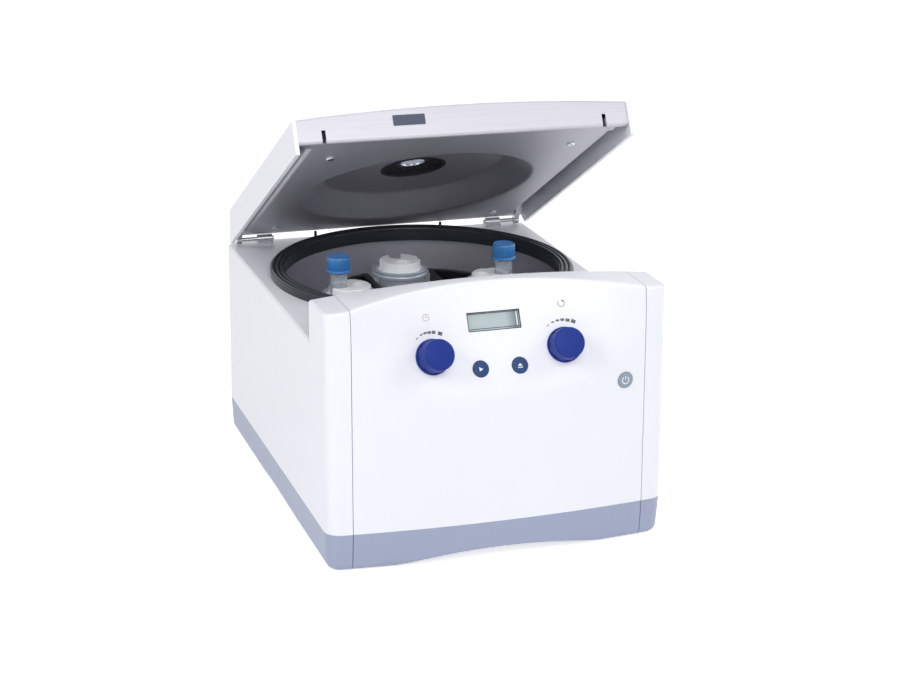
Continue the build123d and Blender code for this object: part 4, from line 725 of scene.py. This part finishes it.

# %% [markdown]
# The glass of the display carries a black film. It is thin along the bottom, and at the right it has two fine
# lines with a white strip between them:
# the dark frame and the glass's own border. The wide band at the top is painted shade, the top wall of the
# recess in shadow over that border.

# %% The border of the display
GLASS_WIDE, GLASS_HIGH, GLASS_Z = 47.6, 15.4, 214.0
TOP_SHADE_BAND, LINE, STRIP = 1.7, 0.6, 1.5
right_edge, upper_edge = GLASS_WIDE / 2, GLASS_HIGH / 2
side_high, side_middle = GLASS_HIGH - TOP_SHADE_BAND - LINE, (LINE - TOP_SHADE_BAND) / 2
window_plane = Landing("lcd_module").plane((0.0, AWAY, GLASS_Z * MM), AHEAD)
# The top band is painted shade of the recess wall above the glass.
border = [bar(GLASS_WIDE, TOP_SHADE_BAND, centre=(0.0, upper_edge - TOP_SHADE_BAND / 2)),
          bar(GLASS_WIDE, LINE, centre=(0.0, LINE / 2 - upper_edge)),
          bar(LINE, side_high, centre=(right_edge - 1.5 * LINE - STRIP, side_middle)),
          bar(LINE, side_high, centre=(right_edge - LINE / 2, side_middle))]
film("display_border_and_shade", border, window_plane, black_ink_and_shade, "base")
strip = bar(STRIP, side_high, centre=(right_edge - LINE - STRIP / 2, side_middle))
film("display_strip", [strip], window_plane, ink_white, "base")
print("border laid on the display")

# %% [markdown]
# The scale over each dial grows from a thin stroke to a square block, so it can be read without any
# figures: little on the left, much on the right.

# %% Growing scales over the dials
SCALES = {
    "time": ((-74.0, 206.9), (-69.7, 209.4), (-65.9, 210.4), (-61.9, 210.4), (-58.0, 210.1),
             (-51.8, 208.4)),
    "speed": ((49.1, 206.9), (53.8, 209.4), (58.3, 210.6), (62.7, 211.1), (67.4, 210.5), (72.4, 209.3)),
}
DIAL_X = 61.7
LEAN = 2.3                    # degrees of turn for each millimetre from the dial's middle
FIRST_TILT = 40
WIDE, HIGH = 2.6, 0.7         # the first block; each step adds the growth
WIDER, HIGHER = 0.32, 0.52
for dial, spots in SCALES.items():
    middle_x = -DIAL_X if dial == "time" else DIAL_X
    for step, (x, z) in enumerate(spots):
        tilt = -(x - middle_x) * LEAN if step else FIRST_TILT
        block = bar(WIDE + WIDER * step, HIGH + HIGHER * step, tilt=tilt)
        film(f"{dial}_scale_{step + 1}", [block], panel_plane(x, z), ink_grey, "base")
print("scales laid on the front")

# %% [markdown]
# ## Behind the latch slots
# The bolts of the latch enter two slots in the lip of the lid. Behind each slot sits a pocket, a
# small box open to the front, so no light falls through. It is black as painted shade of the dark inside of
# the lid. A white pad lines the right wall of the pocket.
# A box is a row of rectangles: its walls run from one to the next, and the first and last are filled.

# %% Pockets and pads
LID_UP = np.array((0.0, sin(LID_OPEN), cos(LID_OPEN)))
LABEL_MIDDLE = sum(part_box("lip_label"), Vector()) / 2
SLOT_X = 132.5                # from the middle of the lid
SLOT_DROP = 11.05             # from the label's middle down to the middle of the slots


def behind_lip(side, rings):
    """Corners of rectangles (across, up, half width, half height, depth), in mm from a slot's middle."""
    across, up, wide, high, deep = np.asarray(rings, dtype=float)[:, None, :].transpose(2, 0, 1) * MM
    corner = np.array([(-1, -1), (1, -1), (1, 1), (-1, 1)])
    x = side * SLOT_X * MM + across + corner[:, 0] * wide
    rise = up - SLOT_DROP * MM + corner[:, 1] * high
    start = np.array((0.0, LABEL_MIDDLE[1], LABEL_MIDDLE[2]))
    place = start + rise[..., None] * LID_UP - deep[..., None] * np.array(LID_OUT)
    place[..., 0] = x
    return place


def ringed(name, side, rings, material):
    """Walls between one rectangle and the next, with the first and the last one closed by a face."""
    points = behind_lip(side, rings)
    last = 4 * (len(rings) - 1)
    walls = grid_faces(len(rings), 4, wrap_columns=True)[:, ::-1]
    faces = np.concatenate([walls, [(0, 1, 2, 3)], [(last + 3, last + 2, last + 1, last)]])
    return add_piece(name, points, faces, material, "lid", smooth=False)


RAISED = 1.0                  # the pocket's middle above the slot's
INSIDE, OUTSIDE = (2.3, 5.3), (2.9, 5.9)
MOUTH, POCKET_FLOOR, BACK = 1.45, 6.9, 7.5
TRAY = [(0, RAISED, *INSIDE, POCKET_FLOOR), (0, RAISED, *INSIDE, MOUTH), (0, RAISED, *OUTSIDE, MOUTH),
        (0, RAISED, *OUTSIDE, BACK)]
PAD_X, PAD_HALF, PAD_FOOT, PAD_DEPTHS = 2.0, 0.25, -4.2, (1.5, 5.5)
PAD_TOPS = {"left": -2.4, "right": 2.2}
for place, side in (("left", -1), ("right", 1)):
    # The pocket's black is painted shade.
    ringed("latch_shade_pocket_" + place, side, TRAY, black_ink_and_shade)
    middle, half = (PAD_FOOT + PAD_TOPS[place]) / 2, (PAD_TOPS[place] - PAD_FOOT) / 2
    pad = [(PAD_X, middle, PAD_HALF, half, depth) for depth in PAD_DEPTHS]
    ringed("latch_pad_" + place, side, pad, ink_white)
print("pockets set behind the latch slots")

# %% [markdown]
# Plain pictures name the controls: a clock face over the left dial, a turning arrow over the right one,
# a triangle and a raised bar on the two round buttons, and the common power sign on the third.

# %% Pictures on the panel and the buttons
clock = [arc_band(3.0, 0.55, 0, 360, steps=49), bar(0.5, 2.2, centre=(0, 1.0)),
         bar(1.8, 0.5, centre=(0.8, 0))]
swirl = [arc_band(3.0, 0.6, -220, 60, steps=41), wedge([(2.9, 1.5), (0.0, 3.9), (0.9, 1.3)])]
film("clock_mark", clock, panel_plane(-63.5, 222.5), ink_pale, "base")
film("turning_mark", swirl, panel_plane(63.5, 224.5), ink_grey, "base")
run_sign = [wedge([(-1.6, -2.0), (-1.6, 2.0), (2.1, 0.0)])]
lift_sign = [wedge([(-2.3, -0.3), (2.3, -0.3), (0.0, 2.3)]), bar(4.6, 0.8, centre=(0, -1.6))]
power_sign = [arc_band(3.3, 0.85, -235, 55, steps=41), bar(0.85, 3.6, centre=(0, 2.2))]
BUTTONS = {"short_run": (-18.3, 177, run_sign), "lid_release": (18.3, 177, lift_sign),
           "power": (117.5, 155.5, power_sign)}
for control, (x, z, sign) in BUTTONS.items():
    face = Landing(control + "_button").plane((x * MM, AWAY, z * MM), AHEAD)
    film(control + "_mark", sign, face, ink_white, control + "_button_slides")
print("pictures laid on the controls")

# %% [markdown]
# ## The studio
# The floor is a wide pale sheet that runs out of sight behind the object. Rays that come straight from
# the camera, or by way of metal and glass, see the floor and the room as white, while the light that
# falls on the object stays at a plain level. The floor still shows the object's soft shadow.

# %% White for the camera, plain light for the object
def seen_ray(tree):
    """1 for rays from the camera, a mirror or a glass, and 0 for the rays that light the object."""
    path = tree.nodes.new("ShaderNodeLightPath")
    first = add_math(tree, "MAXIMUM", (path, "Is Camera Ray"), (path, "Is Glossy Ray"))
    return add_math(tree, "MAXIMUM", (first, 0), (path, "Is Transmission Ray"))


def choose_by_ray(tree, plain, seen, surface):
    """Rays that light the object get the plain shader, rays that end in an eye get the seen one."""
    chosen = tree.nodes.new("ShaderNodeMixShader")
    tree.links.new(seen_ray(tree).outputs[0], chosen.inputs[0])
    tree.links.new(plain.outputs[0], chosen.inputs[1])
    tree.links.new(seen.outputs[0], chosen.inputs[2])
    tree.links.new(chosen.outputs[0], surface)


FLOOR_GLOW = 0.68
FLOOR_HALF = 12.0
floor_white = finish("floor_white", SKIN, colour=(0.90, 0.90, 0.91), roughness=0.8, grain_depth=0.0)
tree = floor_white.node_tree
glow = tree.nodes.new("ShaderNodeEmission")
glow.inputs["Strength"].default_value = FLOOR_GLOW
both = tree.nodes.new("ShaderNodeAddShader")
tree.links.new(tree.nodes["Principled BSDF"].outputs[0], both.inputs[0])
tree.links.new(glow.outputs[0], both.inputs[1])
choose_by_ray(tree, tree.nodes["Principled BSDF"], both, tree.nodes["Material Output"].inputs["Surface"])

corners = bar(2 * FLOOR_HALF, 2 * FLOOR_HALF).reshape(-1, 2)
floor_mesh = bpy.data.meshes.new("floor")
floor_mesh.from_pydata([(u, v, 0.0) for u, v in corners], [], grid_faces(2, 2).tolist())
floor_mesh.materials.append(floor_white)
floor = bpy.data.objects.new("floor", floor_mesh)
bpy.context.scene.collection.objects.link(floor)
print("floor", 2 * FLOOR_HALF, "m wide")

# %% [markdown]
# The room is the sky of the scene. What is seen of it is white, and what it sends onto the object is a
# third as strong and a touch cooler.

# %% The room
ROOM_LIGHT = 0.34
room = bpy.data.worlds.new("white_room")
room.use_nodes = True
bpy.context.scene.world = room
tree = room.node_tree
light_room = tree.nodes["Background"]
light_room.inputs["Color"].default_value = (0.96, 0.97, 1.0, 1.0)
light_room.inputs["Strength"].default_value = ROOM_LIGHT
seen_room = tree.nodes.new("ShaderNodeBackground")
seen_room.inputs["Color"].default_value = (1.0, 1.0, 1.0, 1.0)
seen_room.inputs["Strength"].default_value = 1.0
choose_by_ray(tree, light_room, seen_room, tree.nodes["World Output"].inputs["Surface"])
print("room light", ROOM_LIGHT)

# %% [markdown]
# One wide lamp stands low in front and one at either side, so that light reaches under the raised lid
# and into the bowl. A weak one hangs over the object and lightens its top.

# %% Lamps
def soft_lamp(name, place, aim, size, watts):
    """A square area lamp at a place, turned to face the aim."""
    data = bpy.data.lights.new(name, "AREA")
    data.size = size
    data.energy = watts
    lamp = bpy.data.objects.new(name, data)
    bpy.context.scene.collection.objects.link(lamp)
    lamp.location = place
    lamp.rotation_euler = (Vector(aim) - Vector(place)).to_track_quat("-Z", "Y").to_euler()
    return lamp


LAMPS = {
    "front_lamp": ((-0.2, -2.15, 1.6), (0, 0, 0.2), 1.2, 25),
    "left_lamp": ((-2.2, -0.8, 1.6), (0, 0, 0.25), 1.2, 22),
    "right_lamp": ((2.2, -0.6, 1.6), (0, 0, 0.25), 1.2, 21),
    "top_lamp": ((-0.3, 0.3, 2.6), (0, 0.1, 0.3), 1.6, 5),
}
for name, (spot, aim, size, watts) in LAMPS.items():
    soft_lamp(name, spot, aim, size, watts)
bpy.context.scene.view_settings.view_transform = "Standard"
print("lamps:", list(LAMPS))
